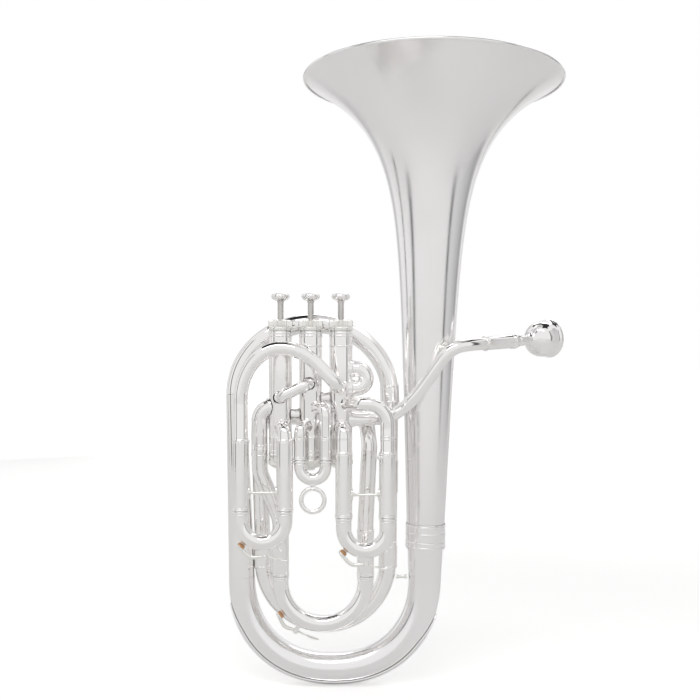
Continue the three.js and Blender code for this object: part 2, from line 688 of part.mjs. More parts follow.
function sleeve(route, sleeveTop, sleeveRadius, tubeRadius) {
  const outer = sleeveOutline(route, sleeveTop, sleeveRadius, tubeRadius);
  return tube(route, outer, sleeveBore(route, sleeveTop - 1, sleeveRadius, tubeRadius));
}

function makeTuningSleeves() {
  const exitRoute = rounded([
    [TUNING_LEFT_X, TUNING_Y, TUNING_MOUTH], [TUNING_LEFT_X, TUNING_Y, 155, 35], [-66, -20, 199, 28],
    [...atPort(2, EXIT_PORT, 19.1), 12], atPort(2, EXIT_PORT, 5),
  ]);
  const exitTube = sleeve(exitRoute, TUNING_SLEEVE_TOP - TUNING_MOUTH, TUNING_SLEEVE_RADIUS, TUNING_RADIUS);
  add('exit_tube', cut(exitTube, casingRoom(2)));
  const returnRoute = rounded([
    [TUNING_RIGHT_X, TUNING_Y, TUNING_MOUTH], [TUNING_RIGHT_X, TUNING_Y, 152, 90], [33.4, TUNING_Y, 222, 16],
    [30.5, CROSSOVER_Y, 247.5, 12], [-69, CROSSOVER_Y, 247.5, 16],
    [INNER_BOW_LEFT_X, LOOP_Y, INNER_BOW_Z + TILTED_GAP],
  ]);
  const returnTube = sleeve(returnRoute, TUNING_SLEEVE_TOP - TUNING_MOUTH, TUNING_SLEEVE_RADIUS, TUNING_RADIUS);
  add('return_tube', returnTube);
}

// ---- Valve slide sleeves ----
function makeSlideSleeves() {
  const valveRoute = (x, y, mouth, valve, port, bendRadius) => rounded([
    [x, y, mouth], [x, y, port[1], bendRadius], atPort(valve, port, 5),
  ]);
  const left1 = valveRoute(SLIDE_1_LEFT_X, SLIDE_Y, SLIDE_1_MOUTH, 0, SLIDE_1_LEFT_PORT, 9);
  const right3 = valveRoute(SLIDE_3_RIGHT_X, SLIDE_Y, SLIDE_3_MOUTH, 2, SLIDE_3_RIGHT_PORT, 9);
  const left2 = valveRoute(SLIDE_2_LEFT_X, SLIDE_2_Y, SLIDE_2_MOUTH, 1, SLIDE_2_LEFT_PORT, 7.5);
  const right2 = valveRoute(SLIDE_2_RIGHT_X, SLIDE_2_Y, SLIDE_2_MOUTH, 1, SLIDE_2_RIGHT_PORT, 7.5);
  const right1 = rounded([
    [SLIDE_1_RIGHT_X, SLIDE_Y, SLIDE_1_MOUTH], [SLIDE_1_RIGHT_X, SLIDE_Y, SLIDE_1_RIGHT_PORT[1], 17],
    [...atPort(0, SLIDE_1_RIGHT_PORT, 28.3), 9], atPort(0, SLIDE_1_RIGHT_PORT, 5),
  ]);
  const tubeRadius = VALVE_TUBE_RADIUS;
  const sleeve1 = SLEEVE_1_TOP - SLIDE_1_MOUTH;
  const sleeve3 = SLEEVE_3_TOP - SLIDE_3_MOUTH;
  const sleeve2 = SLEEVE_2_TOP - SLIDE_2_MOUTH;
  add('slide_1_left_sleeve', cut(sleeve(left1, sleeve1, SLEEVE_RADIUS, tubeRadius), casingRoom(0)));
  add('slide_1_right_sleeve', cut(sleeve(right1, sleeve1, SLEEVE_RADIUS, tubeRadius), casingRoom(0)));
  add('slide_3_right_sleeve', cut(sleeve(right3, sleeve3, SLEEVE_RADIUS, tubeRadius), casingRoom(2)));
  add('slide_2_left_sleeve', cut(sleeve(left2, sleeve2, SLIDE_2_RADIUS, SLIDE_2_TUBE_RADIUS), casingRoom(1)));
  add('slide_2_right_sleeve', cut(sleeve(right2, sleeve2, SLIDE_2_RADIUS, SLIDE_2_TUBE_RADIUS), casingRoom(1)));
  makeLongArc();
}

// The third slide's left sleeve runs up over the front of the valves and down into the first valve
function makeLongArc() {
  const shoulderX = SLIDE_3_LEFT_X + LONG_ARC_HALF_WIDTH;
  const shoulderZ = LONG_ARC_TOP - LONG_ARC_RISE;
  const dropAngle = THREE.MathUtils.degToRad(LONG_ARC_DROP);
  const dropX = shoulderX + LONG_ARC_RADIUS * Math.sin(dropAngle);
  const dropZ = LONG_ARC_TOP - LONG_ARC_RADIUS * (1 - Math.cos(dropAngle));
  const route = new Route([
    line([SLIDE_3_LEFT_X, SLIDE_Y, SLIDE_3_MOUTH], [SLIDE_3_LEFT_X, SLIDE_Y, shoulderZ]),
    uprightArc(shoulderX, SLIDE_Y, shoulderZ, LONG_ARC_HALF_WIDTH, LONG_ARC_RISE, 180, -90),
    uprightArc(shoulderX, SLIDE_Y, LONG_ARC_TOP - LONG_ARC_RADIUS, LONG_ARC_RADIUS, LONG_ARC_RADIUS, 90, -LONG_ARC_DROP),
    ...roundedCurves([
      [dropX, SLIDE_Y, dropZ], [...atPort(0, LONG_ARC_PORT, 20), 10], atPort(0, LONG_ARC_PORT, 5),
    ]),
  ]);
  const longTube = sleeve(route, SLEEVE_3_TOP - SLIDE_3_MOUTH, SLEEVE_RADIUS, VALVE_TUBE_RADIUS);
  add('slide_3_left_sleeve', cut(longTube, casingRoom(0)));
}

// ---- Crooks and their water keys ----
// A crook has two inner legs, wider crook tubing below the sleeves and a collar under each sleeve
function crookTube(leftX, rightX, y, mouth, crookZ, insertion, legRadius, crookRadius) {
  const route = hangingU(leftX, rightX, y, mouth + insertion, crookZ);
  const step = insertion + GAP;
  const bore = legRadius - WALL;
  const collar = crookRadius + COLLAR_RISE;
  const half = [
    [0, legRadius], [step, legRadius], [step, collar], [step + COLLAR_LENGTH, collar],
    [step + COLLAR_LENGTH + 0.3, crookRadius],
  ];
  const mirrored = half.map(([distance, radius]) => [route.length - distance, radius]).reverse();
  return tube(route, [...half, ...mirrored], [[0, bore], [route.length, bore]]);
}

// Where a water key sits on its crook, from the crook's centre and outer radius
function onCrook(crook, degrees, lift, y = crook.y) {
  const angle = THREE.MathUtils.degToRad(degrees);
  const reach = crook.outside + lift;
  return [crook.x + reach * Math.cos(angle), y, crook.z + reach * Math.sin(angle)];
}

function waterKeyFittings(crook) {
  const pieces = [
    rod(onCrook(crook, crook.corkAngle, -1.5), onCrook(crook, crook.corkAngle, NIPPLE_HEIGHT), 2),
    rod(onCrook(crook, crook.pivotAngle, PIVOT_LIFT, crook.y - EAR_OUTER), onCrook(
      crook, crook.pivotAngle, PIVOT_LIFT, crook.y + EAR_OUTER), PIN_RADIUS, 8),
  ];
  for (const side of [-1, 1]) {
    const inner = crook.y + side * EAR_INNER;
    const ear = new THREE.BoxGeometry(3.2, EAR_OUTER - EAR_INNER, PIVOT_LIFT + 5);
    ear.translate(0, 0, -(PIVOT_LIFT + 5) / 2 + 3.5);
    ear.rotateY(-THREE.MathUtils.degToRad(crook.pivotAngle + 90));
    const root = onCrook(crook, crook.pivotAngle, 0, inner + (side * (EAR_OUTER - EAR_INNER)) / 2);
    pieces.push(ear.translate(...root));
  }
  return pieces;
}

function makeWaterKey(name, crook) {
  const pivot = onCrook(crook, crook.pivotAngle, PIVOT_LIFT);
  const corkFoot = onCrook(crook, crook.corkAngle, NIPPLE_HEIGHT + GAP);
  const corkBack = onCrook(crook, crook.corkAngle, NIPPLE_HEIGHT + GAP + CORK_HEIGHT);
  const plateLift = NIPPLE_HEIGHT + 2 * GAP + CORK_HEIGHT;
  const plateStart = onCrook(crook, crook.corkAngle, plateLift);
  const plateEnd = onCrook(crook, crook.corkAngle, plateLift + 1.6);
  const armStart = onCrook(crook, crook.corkAngle, plateLift + 2.5);
  add(`${name}_cork`, rod(corkFoot, corkBack, CORK_RADIUS), [0, 0, 0], CORK, 0.8, 0);

  const barrel = rod([pivot[0], crook.y - BARREL_HALF, pivot[2]], [pivot[0], crook.y + BARREL_HALF, pivot[2]], 2.1);
  const bore = rod([pivot[0], crook.y - 5, pivot[2]], [pivot[0], crook.y + 5, pivot[2]], PIN_RADIUS + 0.4, 8);
  const arm = bar(rounded([armStart, pivot]), 1.1, 6);
  const tail = bar(rounded([pivot, crook.touch]), 1.1, 6);
  const pad = rod(plateStart, plateEnd, CORK_RADIUS + 0.3);
  const touch = rod(
    [crook.touch[0], crook.y, crook.touch[2] - 0.8], [crook.touch[0], crook.y, crook.touch[2] + 0.8], 3.2,
  );
  add(`${name}_lever`, cut(join(barrel, arm, tail, pad, touch), bore));
}

function makeCrook(name, crookDimensions, keyName, key) {
  const [leftX, rightX, y, mouth, crookZ, insertion, legRadius, crookRadius] = crookDimensions;
  const crook = {
    x: (leftX + rightX) / 2, y, z: crookZ, outside: (rightX - leftX) / 2 + crookRadius,
    corkAngle: key.corkAngle, pivotAngle: key.pivotAngle,
    touch: [key.touchX, y, key.touchZ],
  };
  const body = crookTube(leftX, rightX, y, mouth, crookZ, insertion, legRadius, crookRadius);
  add(name, join(body, ...waterKeyFittings(crook)));
  makeWaterKey(keyName, crook);
}

function makeCrooks() {
  makeCrook(
    'slide_1_crook',
    [SLIDE_1_LEFT_X, SLIDE_1_RIGHT_X, SLIDE_Y, SLIDE_1_MOUTH, SLIDE_1_CROOK_Z, 45, INNER_LEG_RADIUS, CROOK_RADIUS],
    'water_key_1', { corkAngle: 227, pivotAngle: 271, touchX: 46, touchZ: 116.6 },
  );
  makeCrook(
    'slide_3_crook',
    [SLIDE_3_LEFT_X, SLIDE_3_RIGHT_X, SLIDE_Y, SLIDE_3_MOUTH, SLIDE_3_CROOK_Z, 50, INNER_LEG_RADIUS, CROOK_RADIUS],
    'water_key_3', { corkAngle: 229.6, pivotAngle: 274, touchX: -41, touchZ: 124 },
  );
  makeCrook(
    'tuning_slide_crook',
    [TUNING_LEFT_X, TUNING_RIGHT_X, TUNING_Y, TUNING_MOUTH, TUNING_CROOK_Z, 38, TUNING_LEG_RADIUS, TUNING_RADIUS],
    'tuning_water_key', { corkAngle: 218, pivotAngle: 241, touchX: -15, touchZ: 46.8 },
  );
  add('slide_2_crook', crookTube(
    SLIDE_2_LEFT_X, SLIDE_2_RIGHT_X, SLIDE_2_Y, SLIDE_2_MOUTH, SLIDE_2_CROOK_Z, 18, SLIDE_2_LEG_RADIUS,
    SLIDE_2_CROOK_RADIUS,
  ));
  const ring = new THREE.TorusGeometry(PULL_RING_RADIUS, PULL_RING_WIRE, 6, 20).rotateX(Math.PI / 2);
  add('slide_2_pull_ring', ring, [(SLIDE_2_LEFT_X + SLIDE_2_RIGHT_X) / 2, SLIDE_2_Y, PULL_RING_Z]);
}

// ---- Leadpipe, receiver and mouthpiece ----
function makeLeadpipe() {
  const start = new THREE.Vector3(...RECEIVER_START);
  const outward = new THREE.Vector3(...RECEIVER_END).sub(start).normalize();
  const curve = new THREE.CatmullRomCurve3([
    new THREE.Vector3(...atPort(0, LEADPIPE_PORT, 5)), new THREE.Vector3(30, -23, 246.4),
    new THREE.Vector3(50, -21.5, 248.4), new THREE.Vector3(62, -23, 255.2), new THREE.Vector3(71.4, -27, 264),
    new THREE.Vector3(82.8, -30.5, 278.5), new THREE.Vector3(94.1, -34, 295), new THREE.Vector3(102, -35.6, 305),
    new THREE.Vector3(110, -35.5, 310.6), new THREE.Vector3(120, -32.5, 313), start.clone().addScaledVector(outward, -6), start.addScaledVector(outward, -GAP),
  ], false, 'centripetal');
  curve.steps = 12;
  add('leadpipe', cut(taper(new Route([curve]), LEADPIPE_RADIUS, LEADPIPE_RADIUS - 0.4), casingRoom(0)));

  const receiver = rounded([RECEIVER_START, RECEIVER_END]);
  const collarStart = receiver.length - 4.5;
  add('mouthpiece_receiver', tube(receiver, [
    [0, RECEIVER_RADIUS + 0.6], [2.5, RECEIVER_RADIUS + 0.6], [2.8, RECEIVER_RADIUS - 0.2],
    [collarStart, RECEIVER_RADIUS], [collarStart + 0.3, RECEIVER_RADIUS + 0.6],
    [receiver.length, RECEIVER_RADIUS + 0.6],
  ], [[0, 4.7], [receiver.length, 5.5]], VALVE_FACETS));
}

// Radius and distance beyond the receiver's mouth, from the shank tip round the outside and back down the bore
function makeMouthpiece() {
  const outline = [
    [4.1, -MOUTHPIECE_INSERTION], [5, 0], [5.1, 8], [4.7, 15.5], [5.4, 19], [8.4, 21.4], [12.8, 24.6], [15.4, 29],
    [16, 36], [16.2, 41], [MOUTHPIECE_RIM_RADIUS - 0.3, 42.6], [MOUTHPIECE_RIM_RADIUS, 44.4],
    [MOUTHPIECE_RIM_RADIUS - 1.2, 46], [15, 46.2], [13.2, 45], [12.7, 42], [11.2, 35.5], [7, 28], [3.4, 22],
    [2.8, 18], [3.2, -MOUTHPIECE_INSERTION], [4.1, -MOUTHPIECE_INSERTION],
  ];
  const outward = new THREE.Vector3(...RECEIVER_END).sub(new THREE.Vector3(...RECEIVER_START)).normalize();
  const turn = new THREE.Quaternion().setFromUnitVectors(new THREE.Vector3(0, 0, 1), outward);
  add('mouthpiece', turned(outline, BOW_FACETS).applyQuaternion(turn), RECEIVER_END);
}

// ---- Braces ----
// A round strut with a flat flange at each end
function strut(start, end, radius) {
  const from = new THREE.Vector3(...start);
  const along = new THREE.Vector3(...end).sub(from);
  const length = along.length();
  const flange = radius + 1.5;
  const outline = [
    [0, 0], [flange, 0], [flange, 0.8], [radius, 1.4], [radius, length - 1.4], [flange, length - 0.8],
    [flange, length], [0, length],
  ];
  const turn = new THREE.Quaternion().setFromUnitVectors(new THREE.Vector3(0, 0, 1), along.normalize());
  return turned(outline, FACETS).applyQuaternion(turn).translate(...start);
}

function makeBraces() {
  const between = (leftX, rightX, z, radius) => strut([leftX, SLIDE_Y, z], [rightX, SLIDE_Y, z], radius);
  const reach = SLEEVE_RADIUS + GAP;
  add('slide_1_brace', between(SLIDE_1_LEFT_X + reach, SLIDE_1_RIGHT_X - reach, 181.2, 1.3));
  add('slide_3_brace', between(SLIDE_3_LEFT_X + reach, SLIDE_3_RIGHT_X - reach, 183, 1.3));
  add('bell_brace', strut([57.6, LOOP_Y, 99.4], [69, LOOP_Y, 99.4], 1.9));
  const braceHeight = 233.5;
  const bellCentre = bellAxis(braceHeight);
  const toLeadpipe = new THREE.Vector3(0.496, -0.868, 0);
  const bellSide = new THREE.Vector3(...bellCentre).addScaledVector(toLeadpipe, bellRadius(braceHeight) + 0.7);
  const pipeSide = new THREE.Vector3(...bellCentre).addScaledVector(toLeadpipe, 33.6);
  add('leadpipe_brace', strut(bellSide.toArray(), pipeSide.toArray(), 2.2));
}

makeBell();
makeGarland();
makeOuterLoop();
makeBowGuard();
for (const valve of [0, 1, 2]) {
  makeCasing(valve);
  makeCaps(valve);
  makePiston(valve);
  makeStemAndButton(valve);
  makeSpring(valve);
}
makeLinks();
makeCompensatingLoops();
makeTuningSleeves();
makeSlideSleeves();
makeCrooks();
makeLeadpipe();
makeMouthpiece();
makeBraces();

export default part;
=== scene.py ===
"""The looks of a three-valve compensating baritone horn in polished silver plate, in a pale studio.
Lengths are millimetres until a mesh is made."""

import json
import math

import bmesh
import bpy
import numpy as np
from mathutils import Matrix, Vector

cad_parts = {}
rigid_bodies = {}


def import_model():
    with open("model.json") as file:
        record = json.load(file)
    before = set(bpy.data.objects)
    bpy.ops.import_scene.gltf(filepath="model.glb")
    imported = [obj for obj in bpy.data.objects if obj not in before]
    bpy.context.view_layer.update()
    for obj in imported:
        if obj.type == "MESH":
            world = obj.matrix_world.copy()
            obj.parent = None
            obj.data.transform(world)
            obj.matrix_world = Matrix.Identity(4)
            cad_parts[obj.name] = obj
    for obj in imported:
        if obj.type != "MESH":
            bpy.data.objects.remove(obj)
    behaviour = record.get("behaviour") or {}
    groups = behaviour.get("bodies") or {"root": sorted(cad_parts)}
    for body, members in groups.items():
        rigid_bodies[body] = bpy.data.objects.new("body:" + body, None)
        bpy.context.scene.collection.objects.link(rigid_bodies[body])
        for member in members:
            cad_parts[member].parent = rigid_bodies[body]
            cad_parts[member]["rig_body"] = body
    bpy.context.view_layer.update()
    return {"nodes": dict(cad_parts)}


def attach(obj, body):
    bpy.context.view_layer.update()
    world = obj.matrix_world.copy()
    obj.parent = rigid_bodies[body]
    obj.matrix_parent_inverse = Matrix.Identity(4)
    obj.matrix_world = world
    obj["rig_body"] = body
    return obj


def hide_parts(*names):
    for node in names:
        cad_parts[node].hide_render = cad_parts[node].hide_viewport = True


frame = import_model()

MM = 0.001
ARC_STEP = 0.05
X_AXIS = np.array([1.0, 0.0, 0.0])
Y_AXIS = np.array([0.0, 1.0, 0.0])
Z_AXIS = np.array([0.0, 0.0, 1.0])

# Depths of the layers of tubing
LOOP_Y, CROSSOVER_Y, TUNING_Y, VALVE_Y, SLIDE_2_Y, SLIDE_Y = 0, -3, -17, -24, -42, -44


# ---- Small vector helpers ----
def unit(vector):
    vector = np.asarray(vector, float)
    return vector / np.linalg.norm(vector)


def turn_about(vector, axis, angle):
    return (
        vector * math.cos(angle)
        + np.cross(axis, vector) * math.sin(angle)
        + axis * np.dot(axis, vector) * (1 - math.cos(angle))
    )


def carry(side, old, new):
    """The side vector turned as the direction turns from old to new."""
    axis = np.cross(old, new)
    size = np.linalg.norm(axis)
    if size > 1e-9:
        side = turn_about(side, axis / size, math.atan2(size, np.dot(old, new)))
    side = side - new * np.dot(side, new)
    return side / np.linalg.norm(side)


# ---- Paths ----
class Path:
    def __init__(self, points, first_side=None):
        points = np.asarray(points, float)
        gaps = np.linalg.norm(np.diff(points, axis=0), axis=1)
        self.points = points[np.concatenate([[True], gaps > 1e-5])]
        steps = np.diff(self.points, axis=0)
        gaps = np.linalg.norm(steps, axis=1)
        self.along = np.concatenate([[0.0], np.cumsum(gaps)])
        self.length = self.along[-1]
        ways = steps / gaps[:, None]
        middle = ways[:-1] / gaps[:-1, None] + ways[1:] / gaps[1:, None]
        self.ways = np.vstack([ways[:1], middle, ways[-1:]])
        self.ways /= np.linalg.norm(self.ways, axis=1)[:, None]
        side = first_side
        if side is None:
            side = X_AXIS if abs(self.ways[0][1]) > 0.9 else Y_AXIS
        sides = []
        before = self.ways[0]
        for way in self.ways:
            side = carry(side, before, way)
            sides.append(side)
            before = way
        self.sides = np.array(sides)

    def at(self, distance):
        def between(values):
            return np.array([np.interp(distance, self.along, values[:, k]) for k in range(3)])

        origin = between(self.points)
        if distance < 0:
            origin = origin + self.ways[0] * distance
        if distance > self.length:
            origin = origin + self.ways[-1] * (distance - self.length)
        way = unit(between(self.ways))
        side = between(self.sides)
        side = unit(side - way * np.dot(side, way))
        return origin, way, side, np.cross(side, way)


def arc(centre, radial, tangential, angle, fullness=2.0):
    centre, radial, tangential = (np.asarray(v, float) for v in (centre, radial, tangential))
    count = max(3, math.ceil(angle / ARC_STEP))
    turns = np.linspace(0, angle, count + 1)
    swell = 2 / fullness
    cosines = np.sign(np.cos(turns)) * np.abs(np.cos(turns)) ** swell
    sines = np.sign(np.sin(turns)) * np.abs(np.sin(turns)) ** swell
    return centre + np.outer(cosines, radial) + np.outer(sines, tangential)


def upright_arc(x, y, z, radius_x, radius_z, start, turn, fullness=2.0):
    """An arc in an upright plane, angles in degrees anticlockwise from +X."""
    angle, sweep = math.radians(start), math.radians(turn)
    sense = math.copysign(1, sweep)
    radial = (radius_x * math.cos(angle), 0, radius_z * math.sin(angle))
    tangential = (-sense * radius_x * math.sin(angle), 0, sense * radius_z * math.cos(angle))
    return arc((x, y, z), radial, tangential, abs(sweep), fullness)


def rounded(corners):
    """A polyline whose corners [x, y, z, radius] are arcs."""
    points = [np.array(corner[:3], float) for corner in corners]
    out = [points[0]]
    for i in range(1, len(points) - 1):
        arrive, leave = unit(points[i] - points[i - 1]), unit(points[i + 1] - points[i])
        turn = math.acos(max(-1.0, min(1.0, float(np.dot(arrive, leave)))))
        if turn < 1e-3:
            continue
        radius = corners[i][3]
        start = points[i] - arrive * radius * math.tan(turn / 2)
        inward = unit(leave - arrive * np.dot(leave, arrive))
        out.extend(arc(start + inward * radius, -inward * radius, arrive * radius, turn))
    out.append(points[-1])
    return np.array(out)


def catmull(points, samples=10):
    """A smooth curve through the points, with its knots spaced centripetally."""
    points = np.asarray(points, float)
    ends = np.vstack([2 * points[0] - points[1], points, 2 * points[-1] - points[-2]])
    out = []
    for a, b, c, d in zip(ends, ends[1:], ends[2:], ends[3:]):
        gap_1, gap_2, gap_3 = (max(np.linalg.norm(q - p) ** 0.5, 1e-6) for p, q in ((a, b), (b, c), (c, d)))
        slope_b = ((b - a) / gap_1 - (c - a) / (gap_1 + gap_2) + (c - b) / gap_2) * gap_2
        slope_c = ((c - b) / gap_2 - (d - b) / (gap_2 + gap_3) + (d - c) / gap_3) * gap_2
        for t in np.linspace(0, 1, samples, endpoint=False):
            out.append(
                (2 * t**3 - 3 * t**2 + 1) * b + (t**3 - 2 * t**2 + t) * slope_b
                + (3 * t**2 - 2 * t**3) * c + (t**3 - t**2) * slope_c
            )
    out.append(points[-1])
    return np.array(out)


# ---- Outlines ----
def soften(outline, radius, steps=3):
    """Rounds the corners of an open or closed outline of (distance, radius) points."""
    points = [np.array(point, float) for point in outline]
    out = [points[0]]
    for before, corner, after in zip(points, points[1:], points[2:]):
        back, on = before - corner, after - corner
        reach_back = min(radius, np.linalg.norm(back) * 0.48)
        reach_on = min(radius, np.linalg.norm(on) * 0.48)
        start, end = corner + unit(back) * reach_back, corner + unit(on) * reach_on
        for t in np.linspace(0, 1, steps + 1):
            out.append((1 - t) ** 2 * start + 2 * t * (1 - t) * corner + t**2 * end)
    out.append(points[-1])
    return out


def bead(start, width, radius, rise, steps=6):
    """A half-round ring standing on a tube of that radius."""
    turns = np.linspace(0, math.pi, steps + 1)
    return [(start + width * (1 - math.cos(t)) / 2, radius + rise * math.sin(t)) for t in turns]


# ---- Meshes: a shape is (points, faces) ----
def shape_from_rings(rings, around=True, closed=False):
    rings = np.asarray(rings)
    rows, columns = rings.shape[:2]
    faces = []
    for i in range(rows if closed else rows - 1):
        following = (i + 1) % rows
        for j in range(columns if around else columns - 1):
            right = (j + 1) % columns
            faces.append((
                i * columns + j, i * columns + right, following * columns + right, following * columns + j,
            ))
    return rings.reshape(-1, 3), faces


def merged(*shapes):
    points, faces, offset = [], [], 0
    for shape_points, shape_faces in shapes:
        points.append(shape_points)
        faces.extend(tuple(index + offset for index in face) for face in shape_faces)
        offset += len(shape_points)
    return np.vstack(points), faces


def with_stations(outline, stations):
    out = []
    for (start, start_radius), (end, end_radius) in zip(outline, outline[1:]):
        out.append((start, start_radius))
        inside = [s for s in stations if min(start, end) + 0.2 < s < max(start, end) - 0.2]
        if end < start:
            inside.reverse()
        for station in inside:
            share = (station - start) / (end - start)
            out.append((station, start_radius + share * (end_radius - start_radius)))
    out.append(tuple(outline[-1]))
    return out


def sweep_rings(path, outline, segments):
    turns = np.linspace(0, 2 * math.pi, segments, endpoint=False)
    rings = []
    for distance, radius in with_stations([tuple(point) for point in outline], path.along):
        origin, _, side, up = path.at(distance)
        rings.append(origin + radius * (np.outer(np.cos(turns), side) + np.outer(np.sin(turns), up)))
    return rings


def sweep(path, outline, segments=48):
    """A surface round a path. An outline that ends where it starts makes a closed wall."""
    closed = np.linalg.norm(np.subtract(outline[0], outline[-1])) < 1e-6
    rings = sweep_rings(path, outline, segments)
    return shape_from_rings(rings[:-1] if closed else rings, closed=closed)


def seat(rings, centre, direction, radius):
    """Moves a tube's last rings along its direction until they lie on an upright cylinder."""
    out = []
    for ring, reach in rings:
        offset = ring - centre
        across = offset @ np.cross(Z_AXIS, direction)
        depth = np.sqrt(np.maximum((radius + reach) ** 2 - across**2, 1.0))
        out.append(ring + np.outer(depth - offset @ direction, direction))
    return out


def lathe(outline, base=(0, 0, 0), axis=(0, 0, 1), segments=64, flutes=0, depth=0.0, fluted=(0, 0)):
    """Turns an outline of (radius, height); the rows between the two fluted heights are knurled."""
    axis = unit(axis)
    side = unit(np.cross(Y_AXIS, axis)) if abs(axis[1]) < 0.9 else unit(np.cross(X_AXIS, axis))
    up = np.cross(axis, side)
    turns = np.linspace(0, 2 * math.pi, segments, endpoint=False)
    wave = 1 - 0.5 * depth * (1 - np.abs(np.cos(turns * flutes / 2))) * 2
    rings = []
    for radius, height in outline:
        reach = np.full(segments, float(radius))
        if flutes and fluted[0] <= height <= fluted[1]:
            reach = reach * wave
        rings.append(
            np.asarray(base) + axis * height
            + reach[:, None] * (np.outer(np.cos(turns), side) + np.outer(np.sin(turns), up))
        )
    closed = np.linalg.norm(np.subtract(outline[0], outline[-1])) < 1e-6
    return shape_from_rings(rings[:-1] if closed else rings, closed=closed)


def ribbon(path, widths, thicknesses, segments=20, squareness=3.0):
    """A flat bar with rounded edges: widths across the path's side, thicknesses across the other way."""
    turns = np.linspace(0, 2 * math.pi, segments, endpoint=False)
    power = 2 / squareness
    across = np.sign(np.cos(turns)) * np.abs(np.cos(turns)) ** power
    through = np.sign(np.sin(turns)) * np.abs(np.sin(turns)) ** power
    count = max(12, len(path.along))
    rings = []
    stations = np.linspace(0, path.length, count)
    for k, distance in enumerate(stations):
        share = distance / path.length
        width = np.interp(share, np.linspace(0, 1, len(widths)), widths)
        thickness = np.interp(share, np.linspace(0, 1, len(thicknesses)), thicknesses)
        origin, _, side, up = path.at(distance)
        rings.append(origin + np.outer(across * width / 2, side) + np.outer(through * thickness / 2, up))
        if k in (0, count - 1):
            cap = np.tile(origin, (segments, 1))
            soft = origin + (rings[-1] - origin) * 0.7
            if k == 0:
                rings.insert(0, soft)
                rings.insert(0, cap)
            else:
                rings.append(soft)
                rings.append(cap)
    return shape_from_rings(rings)


def foot(centre, tube_axis, tube_radius, outward, length, width, thickness=0.7, roundness=1.5):
    """A diamond-shaped foot wrapped on a tube, where a brace is soldered on."""
    tube_axis, outward = unit(tube_axis), unit(outward)
    lateral = np.cross(tube_axis, outward)
    turns = np.linspace(0, 2 * math.pi, 40, endpoint=False)
    power = 2 / roundness
    u = np.sign(np.cos(turns)) * np.abs(np.cos(turns)) ** power * length / 2
    v = np.sign(np.sin(turns)) * np.abs(np.sin(turns)) ** power * width / 2
    rings = []
    crown = [(0.0, thickness), (0.5, thickness), (0.85, thickness), (0.95, thickness * 0.8)]
    for size, lift in [*crown, (1, 0.1), (1, -0.3)]:
        angles = v * size / tube_radius
        reach = tube_radius + lift
        rings.append(
            np.asarray(centre) + np.outer(u * size, tube_axis)
            + np.outer(np.cos(angles) * reach, outward) + np.outer(np.sin(angles) * reach, lateral)
        )
    return shape_from_rings(rings)


# ---- Materials ----
def new_material(name):
    material = bpy.data.materials.new(name)
    material.use_nodes = True
    tree = material.node_tree
    shader = tree.nodes["Principled BSDF"]
    coordinates = tree.nodes.new("ShaderNodeTexCoord")
    return material, tree, shader, coordinates


def noise_value(tree, coordinates, scale, low, high, detail=3.0, stretch=(1, 1, 1)):
    mapping = tree.nodes.new("ShaderNodeMapping")
    mapping.inputs["Scale"].default_value = stretch
    noise = tree.nodes.new("ShaderNodeTexNoise")
    noise.inputs["Scale"].default_value = scale
    noise.inputs["Detail"].default_value = detail
    spread = tree.nodes.new("ShaderNodeMapRange")
    spread.inputs["From Min"].default_value = 0.3
    spread.inputs["From Max"].default_value = 0.7
    spread.inputs["To Min"].default_value = low
    spread.inputs["To Max"].default_value = high
    tree.links.new(coordinates.outputs["Object"], mapping.inputs["Vector"])
    tree.links.new(mapping.outputs["Vector"], noise.inputs["Vector"])
    tree.links.new(noise.outputs["Fac"], spread.inputs["Value"])
    return spread.outputs["Result"]


def metal(name, light, dark, smooth, rough, grain, bump, stretch=(1, 1, 1), tone_scale=45):
    """Bare or plated metal: its tone drifts, its polish varies and fine marks break the reflections."""
    material, tree, shader, coordinates = new_material(name)
    shader.inputs["Metallic"].default_value = 1.0
    tone = noise_value(tree, coordinates, tone_scale, 0, 1)
    ramp = tree.nodes.new("ShaderNodeValToRGB")
    ramp.color_ramp.elements[0].color = (*light, 1)
    ramp.color_ramp.elements[1].color = (*dark, 1)
    tree.links.new(tone, ramp.inputs["Fac"])
    tree.links.new(ramp.outputs["Color"], shader.inputs["Base Color"])
    polish = noise_value(tree, coordinates, grain * 0.35, smooth, rough, stretch=stretch)
    tree.links.new(polish, shader.inputs["Roughness"])
    marks = noise_value(tree, coordinates, grain, 0, 1, 4.0, stretch)
    relief = tree.nodes.new("ShaderNodeBump")
    relief.inputs["Strength"].default_value = bump
    relief.inputs["Distance"].default_value = 0.0002
    tree.links.new(marks, relief.inputs["Height"])
    tree.links.new(relief.outputs["Normal"], shader.inputs["Normal"])
    return material


def cork_material():
    material, tree, shader, coordinates = new_material("cork")
    speckle = noise_value(tree, coordinates, 1400, 0, 1, 5.0)
    ramp = tree.nodes.new("ShaderNodeValToRGB")
    ramp.color_ramp.elements[0].color = (0.4, 0.19, 0.08, 1)
    ramp.color_ramp.elements[1].color = (0.8, 0.46, 0.24, 1)
    tree.links.new(speckle, ramp.inputs["Fac"])
    tree.links.new(ramp.outputs["Color"], shader.inputs["Base Color"])
    tree.links.new(noise_value(tree, coordinates, 900, 0.65, 0.95), shader.inputs["Roughness"])
    relief = tree.nodes.new("ShaderNodeBump")
    relief.inputs["Strength"].default_value = 0.5
    relief.inputs["Distance"].default_value = 0.0003
    tree.links.new(speckle, relief.inputs["Height"])
    tree.links.new(relief.outputs["Normal"], shader.inputs["Normal"])
    return material


